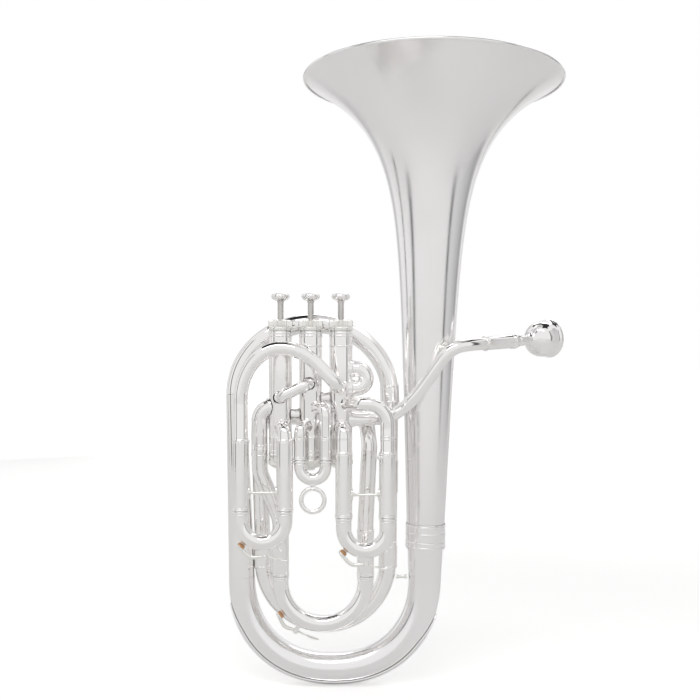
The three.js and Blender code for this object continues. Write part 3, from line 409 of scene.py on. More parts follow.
SILVER = metal("silver_tubing", (0.985, 0.972, 0.97), (0.965, 0.95, 0.94), 0.03, 0.075, 900, 0.012)
BELL_SILVER = metal(
    "silver_bell", (0.985, 0.972, 0.978), (0.965, 0.952, 0.955), 0.15, 0.22, 700, 0.02, (1, 1, 0.12), 18,
)
RING_SILVER = metal("silver_fittings", (0.95, 0.945, 0.925), (0.92, 0.91, 0.88), 0.05, 0.13, 1200, 0.02)
STEM_METAL = metal("stem_satin", (0.76, 0.74, 0.72), (0.64, 0.62, 0.6), 0.28, 0.42, 1500, 0.08, (1, 1, 0.1))
STEEL = metal(
    "spring_and_piston_steel", (0.66, 0.65, 0.64), (0.55, 0.54, 0.53), 0.2, 0.35, 1500, 0.06, (1, 1, 6),
)
CORK = cork_material()


# ---- Pieces ----
def add_piece(name, shape, material, slot, *nodes, body=None, sharp=38):
    points, faces = shape
    mesh = bpy.data.meshes.new(name)
    mesh.from_pydata((points * MM).tolist(), [], faces)
    work = bmesh.new()
    work.from_mesh(mesh)
    bmesh.ops.remove_doubles(work, verts=work.verts, dist=2e-6)
    bmesh.ops.recalc_face_normals(work, faces=work.faces)
    work.to_mesh(mesh)
    work.free()
    mesh.shade_smooth()
    mesh.set_sharp_from_angle(angle=math.radians(sharp))
    mesh.materials.append(material)
    piece = bpy.data.objects.new(name, mesh)
    bpy.context.scene.collection.objects.link(piece)
    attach(piece, body or frame["nodes"][nodes[0]]["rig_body"])
    if nodes:
        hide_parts(*nodes)
    return piece


def silver(name, shape, *nodes, material=None, **more):
    return add_piece(name, shape, material or SILVER, "silver_plate", *nodes, **more)


def wall(outer, bore):
    """A closed outline from an outer and a bore outline of (distance, radius)."""
    return [*outer, *reversed(bore), outer[0]]


def ferrule(path, centre, half, radius, rise=0.55, ring=0.55):
    """A short sleeve over a joint, with a half-round ring at each end."""
    start, end = centre - half, centre + half
    ring_base = radius + rise * 0.6
    outline = [
        (start, radius - 0.3), *bead(start, 1.9, ring_base, ring),
        (start + 2.1, radius + rise), (end - 2.1, radius + rise),
        *bead(end - 1.9, 1.9, ring_base, ring), (end, radius - 0.3), (start, radius - 0.3),
    ]
    return sweep(path, outline)


# ---- Bell ----
BELL_FOOT = np.array([84.6, 0.0, 77.0])
BELL_LEAN = 0.0163
BELL_AXIS = np.array([math.sin(BELL_LEAN), 0.0, math.cos(BELL_LEAN)])
BELL_START, BELL_RIM, BELL_RIM_RADIUS = 60.3, 480.8, 119.0
BELL_START_RADIUS, BELL_TAPER, BELL_FLARE_LENGTH = 17.0, 0.04, 45.0
BELL_RINGS = 100
RIM_BEAD = 1.3
BELL_WALL, TUBE_WALL = 0.8, 0.6


def on_bell(height):
    return BELL_FOOT + BELL_AXIS * height


def bell_radius(height):
    """A straight taper, which an exponential flare opens out to the rim."""
    taper, taper_at_rim = (BELL_START_RADIUS + BELL_TAPER * (at - BELL_START) for at in (height, BELL_RIM))
    return taper + (BELL_RIM_RADIUS - taper_at_rim) * np.exp((height - BELL_RIM) / BELL_FLARE_LENGTH)


def make_bell():
    crowding = 1.7
    heights = BELL_RIM - (BELL_RIM - BELL_START) * np.linspace(1, 0, BELL_RINGS) ** crowding
    outside = np.stack([bell_radius(heights), heights], axis=1)
    slopes = np.gradient(outside, axis=0)
    slopes /= np.linalg.norm(slopes, axis=1)[:, None]
    inside = outside + np.stack([-slopes[:, 1], slopes[:, 0]], axis=1) * BELL_WALL
    turns = np.radians(np.linspace(-125, 125, 15))
    rim = np.stack([BELL_RIM_RADIUS + RIM_BEAD * np.cos(turns), BELL_RIM + RIM_BEAD * np.sin(turns)], axis=1)
    loop = [*outside[:-1], *rim, *inside[:-1][::-1], outside[0]]
    silver("bell_flare", lathe(loop, BELL_FOOT, BELL_AXIS, 168), "bell", material=BELL_SILVER, sharp=50)
    base = 18.2
    loop = [(17.2, 49), (base - 0.1, 49)]
    for height, rise in ((50.2, 0.55), (54.3, 0.4), (62.6, 0.5), (69.2, 0.6)):
        loop.extend((radius, at) for at, radius in bead(height, 1.7, base, rise))
    loop.extend([(base - 0.1, 72), (18.0, 72), (17.5, 60.3), (17.2, 49)])
    silver("bell_garland_rings", lathe(loop, BELL_FOOT, BELL_AXIS, 128), "bell_garland", material=BELL_SILVER)


# ---- Outer loop ----
BOW_CENTRE_Z = 99.8
BOW_LEFT_X = -84.4
BOW_TOP = on_bell((BOW_CENTRE_Z - BELL_FOOT[2]) / math.cos(BELL_LEAN))
BOW_HALF_WIDTH = (BOW_TOP[0] - BOW_LEFT_X) / 2
BOW_ARC = upright_arc(
    (BOW_LEFT_X + BOW_TOP[0]) / 2, LOOP_Y, BOW_CENTRE_Z, BOW_HALF_WIDTH, BOW_HALF_WIDTH, 180, 180, 2.2,
)
# Radii at the left end, the bottom, the right end and the bell's foot
BOW_RADII = (12, 13.6, 15, 16.8)
TOP_BOW_X, TOP_BOW_Z, TOP_BOW_HALF, TOP_BOW_RISE = -18.6, 268.4, 71.2, 65.4
INNER_BOW_X, INNER_BOW_Z, INNER_BOW_HALF = -7, 113.2, 57.7


def bow_radius(distance, half):
    return float(np.interp(distance, [0, half, 2 * half, 2 * half + 40], BOW_RADII))


def make_outer_loop():
    bow = Path(np.vstack([BOW_ARC, on_bell(60.0)[None]]))
    half = Path(BOW_ARC).length / 2
    outer = list(zip((0, half, 2 * half, bow.length), BOW_RADII))
    bore = [(distance, radius - BELL_WALL) for distance, radius in outer]
    silver("bottom_bow_tube", sweep(bow, wall(outer, bore), 72), "bottom_bow", material=BELL_SILVER)

    top_left, top_right = TOP_BOW_X - TOP_BOW_HALF, TOP_BOW_X + TOP_BOW_HALF
    left = Path([(BOW_LEFT_X, LOOP_Y, BOW_CENTRE_Z), (top_left, LOOP_Y, TOP_BOW_Z)])
    right = Path([(top_right, LOOP_Y, TOP_BOW_Z), (INNER_BOW_X + INNER_BOW_HALF, LOOP_Y, INNER_BOW_Z)])
    top = Path(upright_arc(TOP_BOW_X, LOOP_Y, TOP_BOW_Z, TOP_BOW_HALF, TOP_BOW_RISE, 180, -180))
    inner = Path(upright_arc(INNER_BOW_X, LOOP_Y, INNER_BOW_Z, INNER_BOW_HALF, INNER_BOW_HALF, 180, 180))

    def pipe(path, start, end):
        outer = [(0, start), (path.length, end)]
        return sweep(path, wall(outer, [(at, radius - TUBE_WALL) for at, radius in outer]), 56)

    silver("left_branch_tube", pipe(left, 11.9, 9.2), "left_branch")
    silver("top_bow_tube", merged(pipe(top, 9.2, 8.25), ferrule(top, top.length, 8, 8.3)), "top_bow")
    ferrules = [ferrule(right, 76, 15, 8.1, 0.6), ferrule(right, right.length - 5, 10, 8.0)]
    silver("right_branch_tube", merged(pipe(right, 8.25, 8.0), *ferrules), "right_branch")
    silver("inner_bow_tube", merged(pipe(inner, 7.7, 7.7), ferrule(inner, -4, 9, 7.8, 0.5)), "inner_bow")
    make_bow_guard(half)


def make_bow_guard(half):
    """The plate on the outside of the bottom bow, with a raised edge and middle line."""
    guard = Path(BOW_ARC)
    start, end = 0.075 * guard.length, 0.885 * guard.length
    thickness = BOW_CENTRE_Z - BOW_HALF_WIDTH - BOW_RADII[1] - 0.5
    top_lift = 0.5 + thickness
    section = [(-1.0, 0.45), (-1.02, 1.0), (-1.0, top_lift), (-0.95, top_lift + 0.25), (-0.9, top_lift)]
    section += [(share, top_lift - 0.25) for share in np.linspace(-0.86, -0.1, 6)]
    section += [(-0.04, top_lift - 0.12), (0.0, top_lift), (0.04, top_lift - 0.12)]
    section += [(share, top_lift - 0.25) for share in np.linspace(0.1, 0.86, 6)]
    section += [(0.9, top_lift), (0.95, top_lift + 0.25), (1.0, top_lift), (1.02, 1.0), (1.0, 0.45)]
    section += [(share, 0.45) for share in np.linspace(0.9, -0.9, 11)]
    rings = []
    # The guard narrows over this length at each end, where the stations are closer together
    ends = 26.0
    near = np.array([0, 1.2, 3, 5.5, 9, 14, 20, ends])
    stations = [start + offset for offset in near]
    stations += [distance for distance in guard.along if start + ends < distance < end - ends]
    stations += [end - offset for offset in near[::-1]]
    for distance in stations:
        origin, way, _, _ = guard.at(distance)
        outward = np.cross(Y_AXIS, way)
        radius = bow_radius(distance, half)
        nearest = min(distance - start, end - distance)
        spread = 0.82 * math.sqrt(min(1.0, 0.06 + nearest / ends))
        ring = []
        for share, lift in section:
            angle = share * spread
            ring.append(origin + (radius + lift) * (outward * math.cos(angle) + Y_AXIS * math.sin(angle)))
        rings.append(ring)
    middle = [np.tile(np.mean(rings[k], axis=0), (len(section), 1)) for k in (0, -1)]
    shell = shape_from_rings([middle[0], *rings, middle[1]])
    silver("bow_guard_shell", shell, "bow_guard", material=BELL_SILVER)


# ---- Valves ----
VALVE_X = [7.5, -19.7, -46.9]
CASING_RADIUS, CASING_BORE = 10.25, 9.5
# Each port is a casing, counted from 0, a direction in degrees from +X and a height
PORTS = {
    "leadpipe": (0, 0, 246.4), "slide_1_left": (0, -82.3, 239.7), "slide_1_right": (0, -45, 260.9),
    "long_arc": (0, -90, 275.2), "loop_1_top": (0, 0, 291.8), "loop_1_bottom": (0, 0, 274.6),
    "slide_2_left": (1, -115.5, 241.4), "slide_2_right": (1, -52.5, 257.5), "diagonal_2": (1, -97, 278.8),
    "loop_2_top": (1, 90, 293), "loop_2_bottom": (1, 90, 272), "exit": (2, 180, 257.5),
    "slide_3_right": (2, -75.7, 239.7), "diagonal_3": (2, -91, 266.2), "link_12_right": (0, 180, 266),
    "link_12_left": (1, 0, 266), "link_23_right": (1, 180, 251), "link_23_left": (2, 0, 251),
}


def port_place(port):
    valve, degrees, height = PORTS[port]
    angle = math.radians(degrees)
    return np.array([VALVE_X[valve], VALVE_Y, height]), np.array([math.cos(angle), math.sin(angle), 0.0])


def at_port(port, distance, *radius):
    centre, direction = port_place(port)
    return [*(centre + direction * distance), *radius]


# A port's soldered collar: distance from the tube's end, and rise above the tube
COLLAR = [(5, 0), (4.8, 0.5), (4, 0.6), (2, 0.8), (0, 1.3)]


def ported(path, outline, port_end=None, port_start=None, segments=48):
    """A tube whose ends meet valve casings, each with a small soldered collar shaped to the casing."""
    outline = [tuple(point) for point in outline]
    radius_end, radius_start = outline[-1][1], outline[0][1]
    length = path.length
    if port_end:
        outline = [point for point in outline if point[0] < length - 9] + [(length - 9, radius_end)]
        outline += [(length - back, radius_end + rise) for back, rise in COLLAR]
    if port_start:
        head = [(along, radius_start + rise) for along, rise in COLLAR[::-1]]
        outline = head + [(9, radius_start)] + [point for point in outline if point[0] > 9]
    rings = sweep_rings(path, outline, segments)
    reaches = (2.7, 2.5, 1.9, 0.7, -0.3)
    if port_end:
        centre, direction = port_place(port_end)
        rings[-5:] = seat(list(zip(rings[-5:], reaches)), centre, direction, CASING_RADIUS)
    if port_start:
        centre, direction = port_place(port_start)
        rings[:5] = seat(list(zip(rings[:5], reaches[::-1])), centre, direction, CASING_RADIUS)
    return shape_from_rings(rings)


def make_casing(valve):
    place = (VALVE_X[valve], VALVE_Y, 0)
    number = valve + 1
    bottom, top = 213.5, 325.7
    raised = ((214.2, 0.5), (217.5, 0.35), (229.5, 0.3), (311.6, 0.35), (320.6, 0.45), (323.2, 0.6))
    outside = [(CASING_RADIUS, bottom)]
    for height, rise in raised:
        outside.extend((radius, at) for at, radius in bead(height, 1.7, CASING_RADIUS, rise))
    outside.append((CASING_RADIUS, top))
    loop = [(CASING_BORE, bottom), *outside, (CASING_BORE, top), (CASING_BORE, bottom)]
    silver(f"valve_{number}_casing_tube", lathe(loop, place, segments=80), f"valve_{number}_casing")

    cap = soften([
        (9.6, 326.0), (10.6, 326.0), (10.6, 327.2), (11.0, 327.6), (11.0, 328.6), (10.5, 329.0),
        (10.5, 329.6), (11.0, 330.0), (11.0, 334.6), (10.4, 335.4), (9.0, 336.0), (5.4, 335.9), (4.9, 335.0),
        (3.2, 335.0), (3.2, 333.0), (9.4, 333.0), (9.6, 326.0),
    ], 0.35)
    silver(
        f"valve_{number}_top_cap_knurled",
        lathe(cap, place, segments=144, flutes=36, depth=0.12, fluted=(329.8, 335.4)),
        f"valve_{number}_top_cap", material=RING_SILVER, sharp=60,
    )
    cap = soften([
        (0, 202.4), (1.4, 202.4), (1.8, 200.7), (3.4, 200.7), (4.6, 202.6), (7.2, 203.4), (9.0, 204.6),
        (10.0, 205.6), (10.9, 206.4), (10.9, 210.4), (10.4, 210.8), (10.4, 211.4), (10.9, 211.8),
        (10.9, 213.2), (9.5, 213.2), (9.5, 205.4), (0, 205.4),
    ], 0.35)
    silver(
        f"valve_{number}_bottom_cap_knurled",
        lathe(cap, place, segments=144, flutes=36, depth=0.07, fluted=(206.6, 210.2)),
        f"valve_{number}_bottom_cap", material=RING_SILVER, sharp=60,
    )

    stem = soften([(0, 316.2), (2.7, 316.2), (2.7, 351.6), (3.3, 352.2), (3.3, 353.2), (0, 353.2)], 0.3)
    rod = lathe(stem, place, segments=32)
    add_piece(f"valve_{number}_stem_rod", rod, STEM_METAL, "stem_metal", f"valve_{number}_stem")
    button = soften([
        (0, 353.4), (4.2, 353.4), (7.2, 354.6), (8.4, 356.4), (8.4, 357.8), (7.6, 359.2), (6.6, 359.4),
        (5.6, 358.6), (0, 358.0),
    ], 0.7, 5)
    silver(f"valve_{number}_button_dished", lathe(button, place, segments=64), f"valve_{number}_button")


def make_links():
    # The links end inside the casings' walls, short of the bores where the pistons slide
    in_wall = 9.9
    for name, pair in (("1_2", "12"), ("2_3", "23")):
        path = Path([at_port(f"link_{pair}_right", in_wall), at_port(f"link_{pair}_left", in_wall)])
        middle = path.length / 2
        rings = []
        for distance, radius in ((0, 6.1), (middle, 5.2), (path.length, 6.1)):
            rings.extend(sweep_rings(path, [(distance, radius), (distance, radius)], 48)[:1])
        silver(f"valve_link_{name}_tube", shape_from_rings(rings), f"valve_link_{name}")
    path = Path(rounded([
        at_port("diagonal_3", 8), at_port("diagonal_3", 14.5, 7), at_port("diagonal_2", 14.5, 7),
        at_port("diagonal_2", 8),
    ]))
    outline = [(0, 5), (path.length, 5)]
    silver("valve_diagonal_tube", ported(path, outline, "diagonal_2", "diagonal_3"), "valve_diagonal_link")
    for number, reach, radius in ((1, 22.8, 7), (2, 22.5, 5)):
        top, bottom = f"loop_{number}_top", f"loop_{number}_bottom"
        bend = (PORTS[top][2] - PORTS[bottom][2]) / 2
        path = Path(rounded([
            at_port(top, 8), at_port(top, reach, bend), at_port(bottom, reach, bend), at_port(bottom, 8),
        ]))
        outline = [(0, radius), (path.length, radius)]
        loop = f"compensating_loop_{number}"
        silver(f"{loop}_tube", ported(path, outline, bottom, top), loop)


# ---- Sleeves ----
SLEEVE_RADIUS, TUBE_RADIUS, LEG_RADIUS = 7.45, 6.25, 5.95
# Each slide's left and right centrelines, and the height of its sleeves' mouths
SLIDE_1, SLIDE_1_MOUTH = (10.2, 48.6), 161.3
SLIDE_2, SLIDE_2_MOUTH = (-28.3, -5.9), 211.6
SLIDE_3, SLIDE_3_MOUTH = (-80.6, -41.8), 167.4
TUNING, TUNING_MOUTH = (-47.5, 29.8), 104.2


def sleeve_outline(top, sleeve_radius, tube_radius, length, leg):
    """From inside the mouth, over its two rings, up the sleeve to the ring where it narrows."""
    wall_radius = leg + 0.25
    return [
        (9, wall_radius), (0, wall_radius), (0, sleeve_radius - 0.2), *bead(0.1, 1.5, sleeve_radius, 0.6),
        *bead(1.9, 1.1, sleeve_radius, 0.35), (3.2, sleeve_radius), (top - 3.4, sleeve_radius),
        *bead(top - 3.2, 1.1, sleeve_radius, 0.35), *bead(top - 1.8, 1.5, sleeve_radius, 0.55),
        (top, sleeve_radius - 0.3), (top + 2.6, tube_radius), (length, tube_radius),
    ]


def make_sleeves():
    def slide(name, x, y, mouth, port, bend, top, radius, tube, leg, *corners):
        path = Path(rounded([
            (x, y, mouth), *(corners or ([x, y, PORTS[port][2], bend],)), at_port(port, 8),
        ]))
        outline = sleeve_outline(top - mouth, radius, tube, path.length, leg)
        return name, ported(path, outline, port), path

    # Radii of the sleeve, of the tube above it and of the leg inside it
    large, small = (SLEEVE_RADIUS, TUBE_RADIUS, LEG_RADIUS), (5.55, 5.2, 4.2)
    made = [
        slide("slide_1_left_sleeve", SLIDE_1[0], SLIDE_Y, SLIDE_1_MOUTH, "slide_1_left", 9, 218.6, *large),
        slide("slide_3_right_sleeve", SLIDE_3[1], SLIDE_Y, SLIDE_3_MOUTH, "slide_3_right", 9, 229.7, *large),
        slide("slide_2_left_sleeve", SLIDE_2[0], SLIDE_2_Y, SLIDE_2_MOUTH, "slide_2_left", 7.5, 232, *small),
        slide(
            "slide_2_right_sleeve", SLIDE_2[1], SLIDE_2_Y, SLIDE_2_MOUTH, "slide_2_right", 7.5, 232, *small,
        ),
        slide(
            "slide_1_right_sleeve", SLIDE_1[1], SLIDE_Y, SLIDE_1_MOUTH, "slide_1_right", 17, 218.6, *large,
            [SLIDE_1[1], SLIDE_Y, PORTS["slide_1_right"][2], 17], at_port("slide_1_right", 28.3, 9),
        ),
    ]
    extras = {
        "slide_1_right_sleeve": [
            lathe(
                soften([(0, 5.6), (1.5, 5.6), (1.3, 8), (1.9, 8.8), (2.1, 10), (1.5, 11.2), (0, 11.6)], 0.5),
                (SLIDE_1[1], SLIDE_Y, 214.5), (-0.75, -0.66, 0), 24,
            ),
        ],
    }
    for name, shape, path in made:
        if name == "slide_1_right_sleeve":
            extras[name].append(ferrule(path, 70, 2.1, 6.1, 0.1, 0.45))
        silver(f"{name}_tube", merged(shape, *extras.get(name, [])), name)

    drop = math.radians(43)
    drop_x, drop_z = -45.0 + 42 * math.sin(drop), 310.2 - 42 * (1 - math.cos(drop))
    path = Path(np.vstack([
        [(SLIDE_3[0], SLIDE_Y, SLIDE_3_MOUTH)],
        upright_arc(-45.0, SLIDE_Y, 264.7, 35.6, 45.5, 180, -90),
        upright_arc(-45.0, SLIDE_Y, 268.2, 42, 42, 90, -43)[1:],
        rounded([(drop_x, SLIDE_Y, drop_z), at_port("long_arc", 20, 10), at_port("long_arc", 8)])[1:],
    ]))
    outline = sleeve_outline(229.7 - SLIDE_3_MOUTH, SLEEVE_RADIUS, TUBE_RADIUS, path.length, LEG_RADIUS)
    silver("slide_3_long_tube", ported(path, outline, "long_arc"), "slide_3_left_sleeve")

    exit_path = Path(rounded([
        (TUNING[0], TUNING_Y, TUNING_MOUTH), (TUNING[0], TUNING_Y, 155, 35), (-66, -20, 199, 28),
        at_port("exit", 19.1, 12),
        at_port("exit", 8),
    ]))
    outline = sleeve_outline(41.8, 7.6, 7.25, exit_path.length, 6.1)
    silver(
        "exit_tube_sleeve",
        merged(ported(exit_path, outline, "exit"), ferrule(exit_path, 118, 5.5, 7.2, 0.35, 0.4)),
        "exit_tube",
    )
    back_path = Path(rounded([
        (TUNING[1], TUNING_Y, TUNING_MOUTH), (TUNING[1], TUNING_Y, 152, 90), (33.4, TUNING_Y, 222, 16),
        (30.5, CROSSOVER_Y, 247.5, 12), (-69, CROSSOVER_Y, 247.5, 16),
        (INNER_BOW_X - INNER_BOW_HALF, LOOP_Y, INNER_BOW_Z),
    ]))
    outline = sleeve_outline(41.8, 7.6, 7.25, back_path.length, 6.1)
    silver(
        "return_tube_sleeve", merged(sweep(back_path, outline), ferrule(back_path, 150, 6, 7.2, 0.4, 0.4)),
        "return_tube",
    )


# ---- Crooks and water keys ----
def on_crook(crook, degrees, lift, y=None):
    angle = math.radians(degrees)
    reach = crook["outside"] + lift
    depth = crook["y"] if y is None else y
    return np.array([crook["x"] + reach * math.cos(angle), depth, crook["z"] + reach * math.sin(angle)])


def crook_shape(left, right, y, mouth, crook_z, insertion, leg, radius):
    top = mouth + insertion
    half_span = (right - left) / 2
    arc_points = upright_arc((left + right) / 2, y, crook_z, half_span, half_span, 180, 180)
    path = Path(np.vstack([[(left, y, top)], arc_points, [(right, y, top)]]))
    collar = insertion + 0.3
    half = [
        (4, leg - 0.6), (0, leg - 0.6), (0, leg - 0.15), (0.4, leg), (collar, leg), (collar, radius),
        *bead(collar + 0.1, 2.0, radius + 0.15, 0.6), (collar + 2.3, radius - 0.35),
        *bead(collar + 2.7, 1.2, radius, 0.3), (collar + 4.2, radius),
    ]
    mirrored = [(path.length - distance, r) for distance, r in reversed(half)]
    return sweep(path, [*half, *mirrored], 56)


def key_fittings(crook):
    """The nipple the cork closes, the two ears, the pin and the wire spring."""
    y = crook["y"]
    out = unit(on_crook(crook, crook["cork"], 1) - on_crook(crook, crook["cork"], 0))
    shapes = [lathe(
        soften([(3.2, -1.5), (3.0, -0.3), (2.2, 0.2), (2.0, 1.2), (1.2, 1.2), (1.1, -1)], 0.3),
        on_crook(crook, crook["cork"], 0), out, 32,
    )]
    pin = [(0, -4.3), (1.0, -4.3), (1.2, -3.9), (0.7, -3.7), (0.7, 3.7), (1.2, 3.9), (1.0, 4.3), (0, 4.3)]
    shapes.append(lathe(pin, on_crook(crook, crook["pivot"], 5), Y_AXIS, 20))
    for side in (-1, 1):
        depth = y + side * 3.1
        path = Path([on_crook(crook, crook["pivot"], -1.2, depth), on_crook(crook, crook["pivot"], 7, depth)])
        shapes.append(ribbon(path, [1.1, 1.1, 1.1, 1.0], [6.0, 4.2, 3.4, 3.4, 3.0], squareness=2.6))
    pivot = on_crook(crook, crook["pivot"], 5)
    turns = np.linspace(0, 2 * math.pi * 1.6, 44)
    wire = np.stack([
        pivot[0] + 2.75 * np.cos(turns), y - 2.3 + 0.12 * turns, pivot[2] + 2.75 * np.sin(turns),
    ], axis=1)
    shapes.append(sweep(Path(wire), [(0, 0), (0.2, 0.22), (27, 0.22)], 8))
    return shapes


def make_key(name, crook):
    pivot = on_crook(crook, crook["pivot"], 5)
    cork_at = crook["cork"]
    out = unit(on_crook(crook, cork_at, 1) - on_crook(crook, cork_at, 0))
    cork = soften([(0, 1.5), (3.0, 1.5), (3.3, 1.8), (3.3, 4.2), (0, 4.2)], 0.3)
    add_piece(
        f"{name}_cork_pad", lathe(cork, on_crook(crook, cork_at, 0), out, 28), CORK, "cork", f"{name}_cork",
    )
    cup = soften([
        (3.35, 3.4), (3.75, 3.4), (3.75, 5.0), (2.6, 6.0), (0, 6.3), (0, 4.25), (3.35, 4.25), (3.35, 3.4),
    ], 0.25)
    shapes = [lathe(cup, on_crook(crook, cork_at, 0), out, 32)]
    barrel = soften([(1.15, -2.1), (2.1, -2.1), (2.1, 2.1), (1.15, 2.1), (1.15, -2.1)], 0.2)
    shapes.append(lathe(barrel, pivot, Y_AXIS, 28))
    start = on_crook(crook, cork_at, 5.2)
    half_way = on_crook(crook, (cork_at + crook["pivot"]) / 2, 7.6)
    toward = unit(pivot - half_way)
    path = Path(catmull([start, half_way, pivot - toward * 1.7], 8), Y_AXIS)
    shapes.append(ribbon(path, [3.4, 3.6, 3.8], [3.2, 3.4, 2.6]))
    touch = np.array(crook["touch"], float)
    toward = unit(touch - pivot)
    sag = np.array([0, 0, -1.0])
    path = Path(catmull([
        pivot + toward * 1.7, pivot + (touch - pivot) * 0.5 + sag * 0.6, touch - toward * 3 + sag * 0.6,
        touch + toward * 2.6,
    ], 9), Y_AXIS)
    shapes.append(ribbon(path, [3.2, 2.4, 2.6, 4.6, 6.2, 5.6, 3.0], [1.8, 1.5, 1.3, 1.2, 1.2, 1.1, 1.0]))
    silver(f"{name}_lever_bar", merged(*shapes), f"{name}_lever", material=RING_SILVER)


def make_crooks():
    for name, key, numbers, cork, pivot, touch in (
        (
            "slide_1_crook", "water_key_1",
            (*SLIDE_1, SLIDE_Y, SLIDE_1_MOUTH, 151.3, 45, LEG_RADIUS, 6.85), 227, 271, (46, 116.6),
        ),
        (
            "slide_3_crook", "water_key_3",
            (*SLIDE_3, SLIDE_Y, SLIDE_3_MOUTH, 158.5, 50, LEG_RADIUS, 6.85), 229.6, 274, (-41, 124),
        ),
        (
            "tuning_slide_crook", "tuning_water_key",
            (*TUNING, TUNING_Y, TUNING_MOUTH, 98.6, 38, 6.1, 7.25), 218, 241, (-15, 46.8),
        ),
    ):
        left, right, y, _, crook_z, _, _, radius = numbers
        crook = {
            "x": (left + right) / 2, "y": y, "z": crook_z, "outside": (right - left) / 2 + radius,
            "cork": cork, "pivot": pivot, "touch": (touch[0], y, touch[1]),
        }
        silver(f"{name}_bend", merged(crook_shape(*numbers), *key_fittings(crook)), name)
        make_key(key, crook)
    bend = crook_shape(*SLIDE_2, SLIDE_2_Y, SLIDE_2_MOUTH, 205.5, 18, 4.2, 5.3)
    silver("slide_2_crook_bend", bend, "slide_2_crook")
    make_pull_ring()


def make_pull_ring():
    ring_radius, wire_radius = 10.25, 2.1
    centre = np.array([-17.1, SLIDE_2_Y, 176.1])
    turns = np.linspace(0, 2 * math.pi, 73)
    loop = np.stack([
        centre[0] + ring_radius * np.sin(turns), np.full_like(turns, SLIDE_2_Y),
        centre[2] + ring_radius * np.cos(turns),
    ], axis=1)
    rings = []
    around = np.linspace(0, 2 * math.pi, 20, endpoint=False)
    for point in loop[:-1]:
        outward = unit(point - centre)
        section = np.outer(np.cos(around), outward) + np.outer(np.sin(around), Y_AXIS)
        rings.append(point + wire_radius * section)
    neck_outline = [(3.4, 0.3), (2.6, 1.0), (2.0, 2.2), (2.2, 3.4), (3.4, 4.6)]
    neck = lathe(neck_outline, (centre[0], SLIDE_2_Y, 185.6), Z_AXIS, 28)
    silver("slide_2_pull_ring_loop", merged(shape_from_rings(rings, closed=True), neck), "slide_2_pull_ring")


# ---- Leadpipe, receiver and mouthpiece ----
RECEIVER_START = np.array([137.0, -23.0, 314.7])
RECEIVER_END = np.array([169.1, -0.5, 317.5])
RECEIVER_WAY = unit(RECEIVER_END - RECEIVER_START)


def make_leadpipe():
    points = [
        at_port("leadpipe", 8), (30, -23, 246.4), (50, -21.5, 248.4), (62, -23, 255.2), (71.4, -27, 264),
        (82.8, -30.5, 278.5), (94.1, -34, 295), (102, -35.6, 305), (110, -35.5, 310.6), (120, -32.5, 313),
        RECEIVER_START - RECEIVER_WAY * 6, RECEIVER_START + RECEIVER_WAY * 2,
    ]
    path = Path(catmull(points, 12))
    length = path.length
    outline = [(0, 5.9), (16, 5.9), *bead(17, 1.6, 5.9, 0.5), (length * 0.6, 5.7), (length, 5.5)]
    pipe = ported(path, outline, port_start="leadpipe")
    silver("leadpipe_tube", pipe, "leadpipe")

    receiver = Path([RECEIVER_START, RECEIVER_END])
    end = receiver.length
    outer = [
        (0, 5.6), *bead(0.1, 1.5, 6.4, 0.5), *bead(1.8, 1.0, 6.2, 0.35), (3.0, 6.15), (9, 6.2),
        (end - 6.6, 6.35),
        *bead(end - 6.4, 1.2, 6.4, 0.4), (end - 5.0, 6.4), *bead(end - 4.8, 4.6, 6.5, 0.6, 8), (end, 6.3),
    ]
    socket = sweep(receiver, wall(outer, [(0, 4.7), (end, 5.5)]))
    silver("mouthpiece_receiver_tube", socket, "mouthpiece_receiver")
    outline = soften([
        (3.3, -28), (4.1, -28), (5.0, 0), (5.0, 2.5), (5.5, 3.2), (5.5, 4.2), (5.0, 5), (4.9, 9), (4.6, 15),
        (5.1, 18.4), (7.2, 20.4), (10.9, 22.2), (14.1, 25), (16.1, 29), (16.9, 34), (16.9, 39),
        (17.3, 41.2), (18.2, 42.6),
        (18.4, 44.3), (17.6, 45.8), (15.4, 46.1), (13.4, 45.2), (12.7, 42), (11.2, 35.5), (7, 28), (3.4, 22),
        (2.8, 18), (3.3, -28),
    ], 1.6, 5)
    silver("mouthpiece_cup_and_shank", lathe(outline, RECEIVER_END, RECEIVER_WAY, 96), "mouthpiece", sharp=60)


# ---- Braces ----
def strut(start, end, radius, flange):
    start, end = np.asarray(start, float), np.asarray(end, float)
    length = np.linalg.norm(end - start)
    outline = [
        (flange, 0), (flange * 0.93, 0.5), (radius + 0.8, 1.1), (radius + 0.2, 2.0), (radius, 3.2),
        (radius, length - 3.2), (radius + 0.2, length - 2.0), (radius + 0.8, length - 1.1),
        (flange * 0.93, length - 0.5), (flange, length),
    ]
    return lathe(outline, start, end - start, 32)


